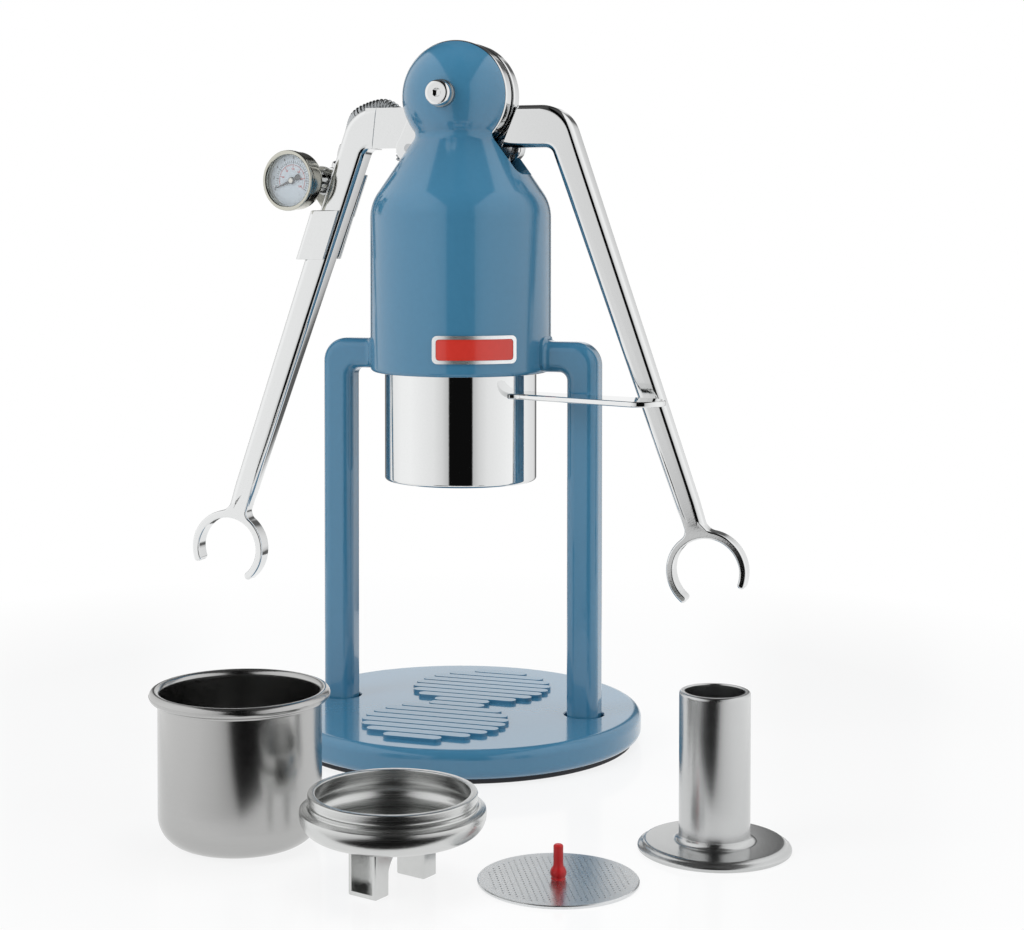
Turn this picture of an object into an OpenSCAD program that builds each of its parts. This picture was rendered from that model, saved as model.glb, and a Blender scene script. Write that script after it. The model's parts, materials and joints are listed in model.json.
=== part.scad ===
// Manual lever espresso maker: two arms press a piston through a basket held under the bell.
// The origin is the centre of the rubber ring's underside, the front faces -Y, and +Z is up.

/* [Base] */
// Radius of the base plate
base_r = 80; // [76:0.5:90]
// Thickness of the base plate
base_h = 12.3; // [10:0.1:18]
// Radius of the rounded edges of the base plate
base_round = 4; // [1:0.5:5]
// Height of the rubber ring that shows under the base plate
foot_show = 2; // [1:0.5:4]
// How deep the rubber ring sits in its groove
foot_sink = 2; // [1:0.5:4]
// Distance of the rubber ring from the edge of the base plate
foot_inset = 3.5; // [3.5:0.5:10]
// Width of the rubber ring
foot_w = 9; // [5:0.5:14]
// Number of raised ribs on the base plate
rib_count = 18; // [4:1:18]
// Distance from one rib to the next
rib_pitch = 7.2; // [6.9:0.1:7.4]
// Height of a rib
rib_h = 1.5; // [0.8:0.1:2.5]
// Radius of the two round fields that the ribs fill
rib_field_r = 31.5; // [29:0.5:34]

/* [Legs] */
// Distance of each leg's middle from the edge of the base plate
leg_inset = 23.2; // [18:0.1:26]
// Width of a leg across the front
leg_w = 14; // [10:0.5:16]
// Depth of a leg from front to back
leg_d = 14; // [10:0.5:15]
// Radius of the long corners of a leg
leg_corner = 4.5; // [1:0.5:4.5]
// Height of the arm that joins a leg to the bell
elbow_h = 13.3; // [10:0.5:14]
// Height of the top of that arm above the lower edge of the bell
elbow_rise = 14; // [13.6:0.1:22]
// Outer radius of the bend at the top of a leg
elbow_r = 10.3; // [4:0.5:12]
// Depth that a leg stands in the base plate
leg_sink = 5; // [3:0.5:7]
// Gap between a leg and the round recess in the base plate
leg_gap = 0.6; // [0.3:0.1:1.5]
// Radius of a leg screw
leg_screw_r = 3; // [2:0.5:4]

/* [Bell and head] */
// How far the bell stands out past the portafilter
bell_over = 6.3; // [5.3:0.1:8]
// Height from the lower edge of the bell to the axle
bell_drop = 121.2; // [121:0.2:126]
// Height from where the bell starts to close in to the axle
shoulder_drop = 53.3; // [50:0.1:58]
// Radius of the bend between bell and cone
shoulder_r = 20; // [12:1:28]
// Angle of the cone from upright
cone_a = 34.2; // [32:0.1:35.5]
// Wall of the bell
bell_wall = 4; // [3:0.1:4.2]
// Height of the arm axle above the ground
axle_z = 284; // [260:0.5:310]
// Radius of the round head
head_r = 25.8; // [25.2:0.1:28]
// Width of the slot through the head
slot_w = 20; // [20:0.1:21]
// Depth of the slot below the axle
slot_depth = 34.5; // [32:0.1:36]
// Thickness of the web inside the bell
web_h = 6; // [4:0.5:6]
// Height from the lower edge of the bell to the web
web_rise = 31.2; // [30.7:0.1:31.4]

/* [Lever arms] */
// Radius of an arm's hub
hub_r = 24.3; // [23:0.1:25.6]
// Thickness of an arm's hub
hub_t = 7.5; // [5:0.1:7.6]
// Width of the gap between the two hubs
hub_gap = 4.2; // [4:0.1:4.8]
// Thickness of an arm
arm_t = 13; // [10:0.5:13]
// How far an arm can be lifted
lift = 90; // [60:1:90]
// Slant of the forearm from upright
forearm_a = 19; // [17:0.1:20]
// Width of the forearm under the bend
forearm_w = 12.2; // [10:0.1:13]
// Width of the forearm above the hand
wrist_w = 10; // [8:0.1:11]
// Radius of the axle
axle_r = 4; // [3:0.1:4.5]
// Running clearance of every shaft in its bore
run_gap = 0.05; // [0.02:0.01:0.1]
// Inner radius of the open ring at the end of an arm
hand_inner_r = 14.2; // [12:0.1:15]
// Outer radius of that ring
hand_outer_r = 17.5; // [17:0.1:20]
// Thickness of that ring
hand_t = 8; // [6:0.5:11]
// Distance of the ring's centre from the middle
hand_x = 110.2; // [108:0.1:113]
// Height from the ring's centre to the axle
hand_drop = 204.7; // [202:0.1:207]

/* [Cranks and links] */
// Distance of a crank pin from the axle
crank_r = 31; // [30.6:0.1:31.2]
// Angle of a crank pin below level with the arms down
crank_a = 47; // [46:0.5:48]
// Radius of the round end of a crank
crank_end_r = 6.2; // [5:0.1:7]
// Radius of a link pin
pin_r = 2; // [1.5:0.1:2.2]
// Thickness of a link
link_t = 3.4; // [2.5:0.1:3.6]
// Width of a link
link_w = 5.6; // [5:0.1:5.8]
// Sideways step of a link from its upper to its lower pin
link_dx = 13.5; // [13.2:0.1:14]
// Height from a link's lower pin to its upper pin
link_dz = 54.2; // [54:0.1:55]

/* [Piston] */
// Radius of the piston rod
rod_r = 5; // [4:0.1:5.5]
// Width of the crosshead
crosshead_w = 49; // [47:0.5:49]
// Depth of the crosshead from front to back
crosshead_d = 12; // [10:0.5:12]
// Height of the crosshead
crosshead_h = 13; // [11:0.5:13]
// Free play above and below a pin in the crosshead's slot
slot_play = 1.25; // [1.2:0.05:1.5]
// Gap between the piston head and the bore of the portafilter
piston_gap = 2.4; // [2.2:0.1:5]
// Height of the piston head
piston_h = 11; // [9:0.5:11]
// Distance of the piston's lower face below the bell with the arms down
piston_drop = 28.3; // [28:0.1:28.8]
// Gap between the piston seal and the bore of the portafilter
seal_gap = 1.7; // [1.6:0.05:2]

/* [Portafilter] */
// Outer radius of the portafilter
cup_r = 33.7; // [33:0.1:34]
// Wall of the portafilter
cup_wall = 2.7; // [2.2:0.1:3.1]
// Distance that the portafilter shows below the bell
cup_show = 47.9; // [45:0.1:51]
// Distance that the portafilter reaches into the bell
cup_into = 15.2; // [13.2:0.1:15.6]
// Angle by which the portafilter turns to unlock
unlock_a = 55; // [40:1:60]
// Angle of the handle in front of +X
handle_a = 18.5; // [18:0.5:24]
// Distance of the handle's tip from the middle
handle_reach = 104; // [90:1:110]
// Half width of the handle at the portafilter
handle_root = 7; // [6:0.1:7.8]
// Half width of the handle near its tip
handle_tip = 10.5; // [8:0.1:10.8]
// Thickness of the handle
handle_t = 2.4; // [2:0.1:4]
// Distance of the underside of the handle below the bell
handle_drop = 10.2; // [7.8:0.1:22.8]

/* [Pressure gauge] */
// Outer radius of the gauge
gauge_r = 13.5; // [12:0.1:13.8]
// Depth of the gauge from front to back
gauge_h = 11; // [9:0.5:12]
// Width of the ring round the glass
bezel_w = 1.8; // [1:0.1:2.5]
// Angle by which the gauge faces left of the front
gauge_yaw = 13; // [10:0.5:15]
// Roll of the dial
gauge_roll = 5; // [-10:1:15]
// Sweep of the gauge's needle
needle_sweep = 233; // [180:1:270]
// Radius of the stem behind the gauge
stem_r = 4; // [3.5:0.1:4.2]
// Length of that stem
stem_len = 24; // [23:0.5:25]
// Thickness of the sheet of the gauge clip
clip_t = 1.5; // [1:0.1:1.6]
// Outer radius of the ribbed hose
hose_r = 3.2; // [2.6:0.1:3.2]
// Bore radius of the ribbed hose
hose_bore_r = 1.6; // [1:0.1:2]
// Distance from one rib of the hose to the next
hose_rib_pitch = 1.6; // [1.4:0.1:2.4]

/* [Loose pieces] */
// Outer radius of the basket's rolled rim
basket_rim_r = 33.4; // [32.5:0.1:33.6]
// Outer radius of the basket's wall
basket_r = 30.2; // [29:0.1:30.5]
// Height of the basket
basket_h = 57; // [50:0.5:60]
// Wall of the basket
basket_wall = 0.8; // [0.6:0.1:1.2]
// Radius of the spout bowl's rim
spout_rim_r = 29.4; // [28:0.1:30]
// Largest radius of the spout bowl
spout_r = 32.4; // [31.6:0.1:33]
// Height of the spout
spout_h = 32.5; // [31:0.5:36]
// Height of the underside of the spout bowl
spout_bowl_z = 18; // [15:0.5:19]
// Radius of the dispersion screen
screen_r = 28.1; // [26:0.1:29]
// Thickness of the dispersion screen
screen_h = 1.2; // [0.8:0.1:2]
// Height of the screen's knob
knob_h = 12; // [9:0.5:15]
// Radius of the tamper's base
tamper_r = 28; // [26:0.1:29]
// Height of the tamper
tamper_h = 58; // [50:0.5:65]
// Radius of the tamper's stem
tamper_stem_r = 13; // [11:0.1:15]
// Wall of the tamper's stem
tamper_wall = 2.2; // [1.5:0.1:3]

/* [Hidden] */
$fn = 96;
hair = 0.01;
far = 400;
base_low = foot_show;
base_top = base_low + base_h;
foot_r = base_r - foot_inset;
leg_x = base_r - leg_inset;
bell_r = cup_r + bell_over;
bell_bottom = axle_z - bell_drop;
shoulder_z = axle_z - shoulder_drop;
slot_bottom = axle_z - slot_depth;
web_z = bell_bottom + web_rise;
elbow_top = bell_bottom + elbow_rise;
hand_z = axle_z - hand_drop;
piston_low = bell_bottom - piston_drop;
cup_bore_r = cup_r - cup_wall;
piston_r = cup_bore_r - piston_gap;
seal_r = cup_bore_r - seal_gap;
cup_bottom = bell_bottom - cup_show;
cup_top = bell_bottom + cup_into;
handle_z = bell_bottom - handle_drop;
paint = "#5a8fb5";
chrome = "#d5d8da";
steel = "#b9bcbe";
rubber = "#1c1c1e";
brass = "#b79a5b";

// Points on an arc of a section in the radius and height plane
function arc_pts(cr, cz, r, from, to, n = 10) =
    [for (i = [0:n]) let (a = from + (to - from) * i / n) [cr + r * cos(a), cz + r * sin(a)]];

// A flat bar between two points of the plane y = 0, with round ends
module bar_outline(p, q, width_p, width_q) {
    len_pq = norm(q - p);
    turn = atan2(q[1] - p[1], q[0] - p[0]);
    translate(p) rotate(turn) {
        circle(r = width_p / 2);
        translate([len_pq, 0]) circle(r = width_q / 2);
        polygon([[0, -width_p / 2], [len_pq, -width_q / 2], [len_pq, width_q / 2], [0, width_p / 2]]);
    }
}

// Stands an outline of the x and z plane up, from y = from to y = to
module upright(from, to) {
    translate([0, to, 0]) rotate([90, 0, 0]) linear_extrude(to - from) children();
}

// A cylinder along Y, from y = from to y = to
module cross_cylinder(x, z, r, from, to) {
    translate([x, to, z]) rotate([90, 0, 0]) cylinder(r = r, h = to - from);
}

// A square with rounded corners
module rounded_square(w, d, r) {
    for (sx = [-1, 1], sy = [-1, 1])
        translate([sx * (w / 2 - r), sy * (d / 2 - r)]) circle(r = r, $fn = 48);
    square([w - 2 * r, d], center = true);
    square([w, d - 2 * r], center = true);
}

// A ring of rectangular section
module tube(r_in, r_out, z, h) {
    translate([0, 0, z]) difference() {
        cylinder(r = r_out, h = h);
        translate([0, 0, -1]) cylinder(r = r_in, h = h + 2);
    }
}

// Base

rib_first_y = -(rib_count - 1) * rib_pitch / 2 - 1.8;
rib_front_y = rib_first_y + 4 * rib_pitch;
rib_rear_y = rib_first_y + (rib_count - 5) * rib_pitch;
rib_half = rib_pitch / 2 - 0.2;
rib_r = (rib_half * rib_half + rib_h * rib_h) / (2 * rib_h);
rib_short = 11.5;

function chord(d) = abs(d) < rib_field_r ? sqrt(rib_field_r * rib_field_r - d * d) : 0;
function rib_reach(y) = max(chord(y - rib_front_y), chord(y - rib_rear_y), rib_short);

foot_groove_r = foot_r + 0.1;
screw_head_r = leg_screw_r * 1.7;
screw_head_h = 4;
leg_diagonal = norm([leg_w / 2 - leg_corner, leg_d / 2 - leg_corner]) + leg_corner;

module base_plate() {
    section = concat([[0, 0], [base_r - base_round, 0]],
                     arc_pts(base_r - base_round, base_round, base_round, -90, 0, 6),
                     arc_pts(base_r - base_round, base_h - base_round, base_round, 0, 90, 6),
                     [[0, base_h]]);
    color(paint) difference() {
        union() {
            translate([0, 0, base_low]) rotate_extrude() polygon(section);
            intersection() {
                for (i = [0:rib_count - 1]) {
                    y = rib_first_y + i * rib_pitch;
                    translate([-rib_reach(y), y, base_top + rib_h - rib_r]) rotate([0, 90, 0])
                        cylinder(r = rib_r, h = 2 * rib_reach(y), $fn = 64);
                }
                translate([-base_r, -base_r, base_top - 1]) cube([2 * base_r, 2 * base_r, 10]);
            }
        }
        tube(foot_r - foot_w - 0.1, foot_groove_r, base_low - 1, foot_sink + 1);
        for (side = [-1, 1]) translate([side * leg_x, 0, 0]) {
            translate([0, 0, base_top - leg_sink]) cylinder(r = leg_diagonal + leg_gap, h = leg_sink + 1);
            cylinder(r = leg_screw_r + 0.2, h = far / 4, $fn = 48);
            cylinder(r = screw_head_r + 0.3, h = base_low + screw_head_h + 0.5, $fn = 48);
        }
    }
}

module base_foot_ring() {
    color(rubber) tube(foot_r - foot_w, foot_r, 0, foot_show + foot_sink);
}

screw_head_top = base_low + screw_head_h + 0.5;
screw_depth = 18;

module leg_screws() {
    color(steel) for (side = [-1, 1]) translate([side * leg_x, 0, 0]) {
        difference() {
            translate([0, 0, screw_head_top - screw_head_h])
                cylinder(r = screw_head_r, h = screw_head_h, $fn = 48);
            translate([0, 0, screw_head_top - screw_head_h - 1])
                cylinder(r = leg_screw_r, h = 3, $fn = 6);
        }
        translate([0, 0, screw_head_top])
            cylinder(r = leg_screw_r, h = base_top - leg_sink + screw_depth - screw_head_top, $fn = 48);
    }
}

// Legs

leg_low = base_top - leg_sink;
elbow_low = elbow_top - elbow_h;

module leg() {
    leg_out = leg_x + leg_w / 2;
    elbow_mid = (elbow_low + elbow_top) / 2;
    color(paint) difference() {
        union() {
            translate([leg_x, 0, leg_low]) linear_extrude(elbow_mid - leg_low)
                rounded_square(leg_w, leg_d, leg_corner);
            translate([0, 0, elbow_mid]) rotate([0, 90, 0])
                linear_extrude(leg_out + hair) rounded_square(elbow_h, leg_d + 2 * hair, leg_corner);
        }
        upright(-leg_d, leg_d) difference() {
            translate([leg_out - elbow_r, elbow_top - elbow_r]) square(2 * elbow_r);
            translate([leg_out - elbow_r, elbow_top - elbow_r]) circle(r = elbow_r - hair);
        }
        translate([0, 0, elbow_low - 1]) cylinder(r = bell_r, h = elbow_h + 2);
        translate([leg_x, 0, leg_low - 1])
            cylinder(r = leg_screw_r + run_gap, h = screw_depth + 2, $fn = 48);
    }
}

module left_leg() { mirror([1, 0, 0]) leg(); }
module right_leg() { leg(); }

// Bell and head

cone_slope = tan(cone_a);
shoulder_c = bell_r - shoulder_r;
cone_start_r = shoulder_c + shoulder_r * cos(cone_a);
cone_start_z = shoulder_z + shoulder_r * sin(cone_a);
cone_c = cone_start_r - cone_slope * (axle_z - cone_start_z);
neck_a = 1 + cone_slope * cone_slope;
neck_b = cone_slope * cone_c;
neck_u = (neck_b - sqrt(neck_b * neck_b - neck_a * (cone_c * cone_c - head_r * head_r))) / neck_a;
neck_r = cone_c - cone_slope * neck_u;
bell_edge = 2;
bore_r = bell_r - bell_wall + 0.1;
web_top = web_z + web_h;
inner_r = bell_r - bell_wall;
inner_shoulder_r = shoulder_r - bell_wall;
inner_cone_r = shoulder_c + inner_shoulder_r * cos(cone_a);
inner_cone_z = shoulder_z + inner_shoulder_r * sin(cone_a);
inner_top = slot_bottom + 8.5;
bush_r = 8;
spot_y = head_r - 0.6;
cap_r = 5.6;
washer_r = 6;
washer_h = 2.6;
cap_h = 4.8;
slot_corner = 3.5;

module bell_casting() {
    outer = concat([[0, bell_bottom], [bell_r - bell_edge, bell_bottom]],
                   arc_pts(bell_r - bell_edge, bell_bottom + bell_edge, bell_edge, -90, 0, 4),
                   arc_pts(shoulder_c, shoulder_z, shoulder_r, 0, cone_a, 8),
                   arc_pts(0, axle_z, head_r, atan2(neck_u, neck_r), 90, 24));
    hollow = concat([[0, web_top], [inner_r, web_top]],
                    arc_pts(shoulder_c, shoulder_z, inner_shoulder_r, 0, cone_a, 8),
                    [[inner_cone_r - cone_slope * (inner_top - inner_cone_z), inner_top], [0, inner_top]]);
    color(paint) difference() {
        rotate_extrude() polygon(outer);
        rotate_extrude() polygon(hollow);
        translate([0, 0, bell_bottom - 1]) cylinder(r = bore_r, h = web_z - bell_bottom + 1);
        cylinder(r = bush_r, h = web_top + 1);
        rotate([90, 0, 90]) linear_extrude(2 * far, center = true) {
            translate([-slot_w / 2, slot_bottom + slot_corner]) square([slot_w, far]);
            translate([-slot_w / 2 + slot_corner, slot_bottom]) square([slot_w - 2 * slot_corner, far]);
            for (side = [-1, 1])
                translate([side * (slot_w / 2 - slot_corner), slot_bottom + slot_corner])
                    circle(r = slot_corner, $fn = 48);
        }
        cross_cylinder(0, axle_z, axle_r, -far, far);
        for (side = [-1, 1]) translate([0, side * (spot_y + 10), axle_z])
            rotate([90, 0, 0]) cylinder(r = washer_r + 0.2, h = 20, center = true);
    }
}

ear_h = 4;
ear_r = bore_r - 0.4;
ledge_z = bell_bottom + 0.6;
ledge_h = 4;
ear_z = ledge_z + ledge_h + 0.2;
ear_half_a = 13;
ear_side_a = 90;

module group_ring() {
    color(steel) difference() {
        tube(cup_r + 0.4, bore_r - 0.05, ledge_z, ledge_h);
        for (side = [-1, 1]) rotate(-handle_a - unlock_a + side * ear_side_a)
            translate([0, 0, ledge_z - 1]) rotate(-ear_half_a - 2)
                rotate_extrude(angle = 2 * (ear_half_a + 2))
                    translate([cup_r - 1, 0]) square([ear_r + 0.2 - cup_r + 1, ledge_h + 2]);
    }
}

bush_flange_r = 11;

module rod_guide_bush() {
    color(brass) difference() {
        union() {
            translate([0, 0, web_z]) cylinder(r = bush_r - 0.02, h = web_h);
            translate([0, 0, web_z - 1]) cylinder(r = bush_flange_r, h = 1);
        }
        cylinder(r = rod_r + run_gap, h = far);
    }
}

module axle_shaft() {
    color(steel) cross_cylinder(0, axle_z, axle_r - 0.02, -spot_y - washer_h - 2, spot_y + washer_h + 2);
}

module axle_washers() {
    color(steel) for (side = [-1, 1]) scale([1, side, 1]) difference() {
        cross_cylinder(0, axle_z, washer_r, spot_y, spot_y + washer_h);
        cross_cylinder(0, axle_z, axle_r, spot_y - 1, spot_y + washer_h + 1);
    }
}

cap_y = spot_y + washer_h;

module axle_cap_nuts() {
    color(chrome) for (side = [-1, 1]) scale([1, side, 1]) difference() {
        cross_cylinder(0, axle_z, cap_r, cap_y, cap_y + cap_h);
        cross_cylinder(0, axle_z, axle_r, cap_y - 1, cap_y + 2.1);
        cross_cylinder(0, axle_z, 1.9, cap_y + 2, cap_y + cap_h + 1);
    }
}

module axle_spacer() {
    color(steel) difference() {
        cross_cylinder(0, axle_z, 9.5, -hub_gap / 2 + 0.05, hub_gap / 2 - 0.05);
        cross_cylinder(0, axle_z, axle_r + 0.02, -far, far);
    }
}

badge_a = 27.7;
badge_w = 36.5;
badge_h = 12;
badge_z = bell_bottom + 11.8;
badge_t = 0.9;
badge_rim = 1.5;

module badge_block(trim) {
    translate([0, 0, badge_z]) rotate(badge_a) rotate([90, 0, 0])
        linear_extrude(far) rounded_square(badge_w - 2 * trim, badge_h - 2 * trim, 2.2 - trim / 2);
}

module badge_border() {
    color(chrome) difference() {
        intersection() {
            tube(bell_r, bell_r + badge_t, badge_z - badge_h, 2 * badge_h);
            badge_block(0);
        }
        badge_block(badge_rim);
    }
}

module badge_plate() {
    color("#c0392f") intersection() {
        tube(bell_r, bell_r + badge_t - 0.3, badge_z - badge_h, 2 * badge_h);
        badge_block(badge_rim + 0.05);
    }
}

// Lever arms, drawn for the right side and turned half round for the left

hub_in = hub_gap / 2;
hub_out = hub_in + hub_t;
arm_back = hub_out - 1.1;
arm_front = arm_back - arm_t;
root_top = axle_z - 4.3;
root_low = axle_z - 22.9;
bend_x = 49.5;
bend_z = axle_z - 24.9;
wrist_z = hand_z + 28;
wrist_x = bend_x + (bend_z - wrist_z) * tan(forearm_a);
crank_x = crank_r * cos(crank_a);
crank_z = axle_z - crank_r * sin(crank_a);
root_start = 20;
step_r = max(hub_r, head_r) + 2.2;
pin_room = 6;
hose_room_r = 37;
thin_a = atan((arm_t - hand_t) / (bend_z - hand_z - hand_inner_r));
hand_open_from = -21;
hand_open_to = -127;

// Centre of the bend's outer curve, which is tangent to the root and to the forearm's outer line
bend_r = 16;
bend_cz = root_top - bend_r;
bend_cx = bend_x + ((forearm_w / 2 - bend_r) + (bend_z - bend_cz) * sin(forearm_a)) / cos(forearm_a);
crook_r = 4;
bush_out_r = 6;

module arm_outline() {
    out = [cos(forearm_a), sin(forearm_a)];
    knee = [bend_cx, bend_cz];
    wrist = [wrist_x, wrist_z];
    under = (bend_z - root_low) / cos(forearm_a);
    crook_x = bend_x - forearm_w / 2 / cos(forearm_a) + (bend_z - root_low) * tan(forearm_a);
    crook_len = crook_r * tan(45 - forearm_a / 2);
    crook_c = [crook_x - crook_len, root_low - crook_r];
    polygon(concat([[root_start, root_top], knee + [0, bend_r], knee, knee + bend_r * out,
                    wrist + wrist_w / 2 * out, wrist - wrist_w / 2 * out],
                   arc_pts(crook_c[0], crook_c[1], crook_r, forearm_a, 90, 6),
                   [[root_start, root_low]]));
    intersection() {
        translate(knee) circle(r = bend_r);
        polygon([knee, knee + [0, 2 * bend_r], knee + [2 * bend_r, 2 * bend_r], knee + 2 * bend_r * out]);
    }
}

module hand_outline() {
    translate([hand_x, hand_z]) difference() {
        circle(r = hand_outer_r);
        circle(r = hand_inner_r);
        polygon([[0, 0],
                 for (i = [0:6]) let (a = hand_open_from + (hand_open_to - hand_open_from) * i / 6)
                     40 * [cos(a), sin(a)]]);
    }
    difference() {
        bar_outline([wrist_x, wrist_z], [hand_x - 4.5, hand_z + 15.5], wrist_w, wrist_w - 3);
        translate([hand_x, hand_z]) circle(r = hand_inner_r);
    }
}

module arm(hose_room) {
    color(chrome) difference() {
        union() {
            cross_cylinder(0, axle_z, hub_r, hub_in, hub_out);
            upright(hub_in, hub_out)
                bar_outline([0, axle_z], [crank_x, crank_z], 2 * crank_end_r + 14, 2 * crank_end_r);
            upright(arm_front, arm_back) arm_outline();
            upright(arm_back - hand_t, arm_back) hand_outline();
        }
        translate([0, arm_front, bend_z]) rotate([thin_a, 0, 0]) translate([-far, -far, -far])
            cube([2 * far, far, far]);
        cross_cylinder(0, axle_z, step_r, -far, hub_in - hair);
        cross_cylinder(crank_x, crank_z, pin_room, -far, hub_in - hair);
        cross_cylinder(crank_x, crank_z, pin_r - 0.02, -far, far);
        if (hose_room) cross_cylinder(0, axle_z, hose_room_r, -far, hub_in - hair);
        cross_cylinder(0, axle_z, bush_out_r, -far, far);
    }
}

module arm_bush() {
    color(brass) difference() {
        cross_cylinder(0, axle_z, bush_out_r - 0.02, hub_in, hub_out);
        cross_cylinder(0, axle_z, axle_r + run_gap, -far, far);
    }
}

module crank_pin() {
    color(steel) {
        cross_cylinder(crank_x, crank_z, pin_r - 0.03, -hub_in - 0.7, hub_out);
        cross_cylinder(crank_x, crank_z, pin_r + 1.4, -hub_in - 0.7, -link_t / 2 - 0.1);
    }
}

module right_arm() { arm(false); }
module left_arm() { rotate(180) arm(true); }
module right_arm_bush() { arm_bush(); }
module left_arm_bush() { rotate(180) arm_bush(); }
module right_crank_pin() { crank_pin(); }
module left_crank_pin() { rotate(180) crank_pin(); }

// Links and crosshead

low_x = crank_x - link_dx;
low_z = crank_z - link_dz;
eye_r = 3.7;
crank_mid_x = crank_r - link_dx;
cross_bottom = low_z - crosshead_h / 2;

module link() {
    color(steel) difference() {
        upright(-link_t / 2, link_t / 2) {
            bar_outline([low_x, low_z], [crank_x, crank_z], link_w, link_w);
            translate([low_x, low_z]) circle(r = eye_r);
            translate([crank_x, crank_z]) circle(r = eye_r);
        }
        cross_cylinder(crank_x, crank_z, pin_r + run_gap, -far, far);
        cross_cylinder(low_x, low_z, pin_r - 0.02, -far, far);
    }
}

module link_pin() {
    color(steel) cross_cylinder(low_x, low_z, pin_r - 0.03, -crosshead_d / 2 + 0.3, crosshead_d / 2 - 0.3);
}

module right_link() { link(); }
module left_link() { rotate(180) link(); }
module right_link_pin() { link_pin(); }
module left_link_pin() { rotate(180) link_pin(); }

stud_r = 3;
stud_len = 9;
link_room = link_t / 2 + 0.4;

module crosshead() {
    slot_half = pin_r + slot_play;
    color(steel) difference() {
        translate([-crosshead_w / 2, -crosshead_d / 2, cross_bottom])
            cube([crosshead_w, crosshead_d, crosshead_h]);
        for (side = [-1, 1]) {
            translate([side > 0 ? stud_r + 0.6 : -far - stud_r - 0.6, -link_room, cross_bottom - 1])
                cube([far, 2 * link_room, crosshead_h + 2]);
            upright(-far, far) {
                translate([side * (low_x + 0.2), low_z]) circle(r = slot_half, $fn = 48);
                translate([side * crank_mid_x, low_z]) circle(r = slot_half, $fn = 48);
                translate([side > 0 ? low_x + 0.2 : -crank_mid_x, low_z - slot_half])
                    square([crank_mid_x - low_x - 0.2, 2 * slot_half]);
            }
        }
        translate([0, 0, cross_bottom - 1]) cylinder(r = stud_r + 0.02, h = stud_len + 1, $fn = 48);
    }
}

piston_top = piston_low + piston_h;

module piston_rod() {
    color(chrome) {
        translate([0, 0, piston_top]) cylinder(r = rod_r, h = cross_bottom - piston_top);
        translate([0, 0, cross_bottom - hair]) cylinder(r = stud_r, h = stud_len - 0.5, $fn = 48);
        translate([0, 0, piston_low + 4]) cylinder(r = stud_r, h = piston_top - piston_low - 4 + hair);
    }
}

nut_h = 3;

module rod_lock_nut() {
    color(steel) difference() {
        translate([0, 0, piston_top]) cylinder(r = 9, h = nut_h, $fn = 6);
        cylinder(r = rod_r + 0.01, h = far);
    }
}

seal_z = piston_low + 3.5;
seal_h = 4;
seal_floor_r = piston_r - 2;

module piston_head() {
    color(steel) difference() {
        translate([0, 0, piston_low]) cylinder(r = piston_r, h = piston_h);
        tube(seal_floor_r, piston_r + 1, seal_z, seal_h);
        cylinder(r = stud_r + 0.02, h = far, $fn = 48);
        translate([0, 0, piston_low - 1]) cylinder(r = 5.2, h = 2.5, $fn = 48);
    }
}

module piston_seal() {
    color("#b0342c") tube(seal_floor_r + 0.05, seal_r, seal_z + 0.1, seal_h - 0.2);
}

module piston_screw() {
    color(steel) difference() {
        union() {
            translate([0, 0, piston_low - 0.5]) cylinder(r = 5, h = 1.9, $fn = 48);
            translate([0, 0, piston_low + 1]) cylinder(r = stud_r, h = 2.9, $fn = 48);
        }
        translate([0, 0, piston_low - 1]) cylinder(r = 1.8, h = 2, $fn = 6);
    }
}

// Portafilter

lip_r = cup_r - 5.7;
lip_h = 2;
cup_edge = 1.5;
weld_in = 0.6;

module portafilter_cup() {
    section = concat([[lip_r, cup_bottom], [cup_r - cup_edge, cup_bottom]],
                     arc_pts(cup_r - cup_edge, cup_bottom + cup_edge, cup_edge, -90, 0, 4),
                     [[cup_r, cup_top], [cup_bore_r, cup_top], [cup_bore_r, cup_bottom + lip_h],
                      [lip_r, cup_bottom + lip_h]]);
    color(chrome) {
        rotate_extrude() polygon(section);
        for (side = [-1, 1]) rotate(-handle_a + side * ear_side_a - ear_half_a)
            rotate_extrude(angle = 2 * ear_half_a)
                translate([cup_r - weld_in, ear_z]) square([ear_r - cup_r + weld_in, ear_h]);
    }
}

module portafilter_handle() {
    end_x = handle_reach - handle_tip;
    color(chrome) rotate(-handle_a) difference() {
        translate([0, 0, handle_z]) linear_extrude(handle_t) {
            polygon([[cup_r - 4, -handle_root], [end_x, -handle_tip],
                     [end_x, handle_tip], [cup_r - 4, handle_root]]);
            translate([end_x, 0]) circle(r = handle_tip);
        }
        translate([0, 0, handle_z - 1]) cylinder(r = cup_r, h = handle_t + 2);
    }
}

// Pressure gauge, clip and hose, all on the left arm

gauge_x = -74.8;
gauge_y = -20;
gauge_z = axle_z - 36.7;
case_wall = 1.2;
dial_depth = 3;
glass_depth = 0.8;
case_back = 3;
zero_a = 206.5;
stem_end = gauge_h + stem_len;

// Turns a shape drawn on its back, facing up, to where the gauge faces
module at_gauge() {
    translate([gauge_x, gauge_y, gauge_z]) rotate([0, 0, -gauge_yaw]) rotate([90, 0, 0])
        rotate([0, 0, -gauge_roll]) children();
}

module gauge_case() {
    inner = gauge_r - 0.5 - case_wall;
    color(chrome) at_gauge() rotate_extrude()
        polygon([[0, -gauge_h], [gauge_r - 4, -gauge_h], [gauge_r - 0.5, -gauge_h + case_back],
                 [gauge_r - 0.5, -2.2], [inner, -2.2], [inner, -gauge_h + case_back],
                 [gauge_r - 5, -gauge_h + case_wall], [0, -gauge_h + case_wall]]);
}

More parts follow.
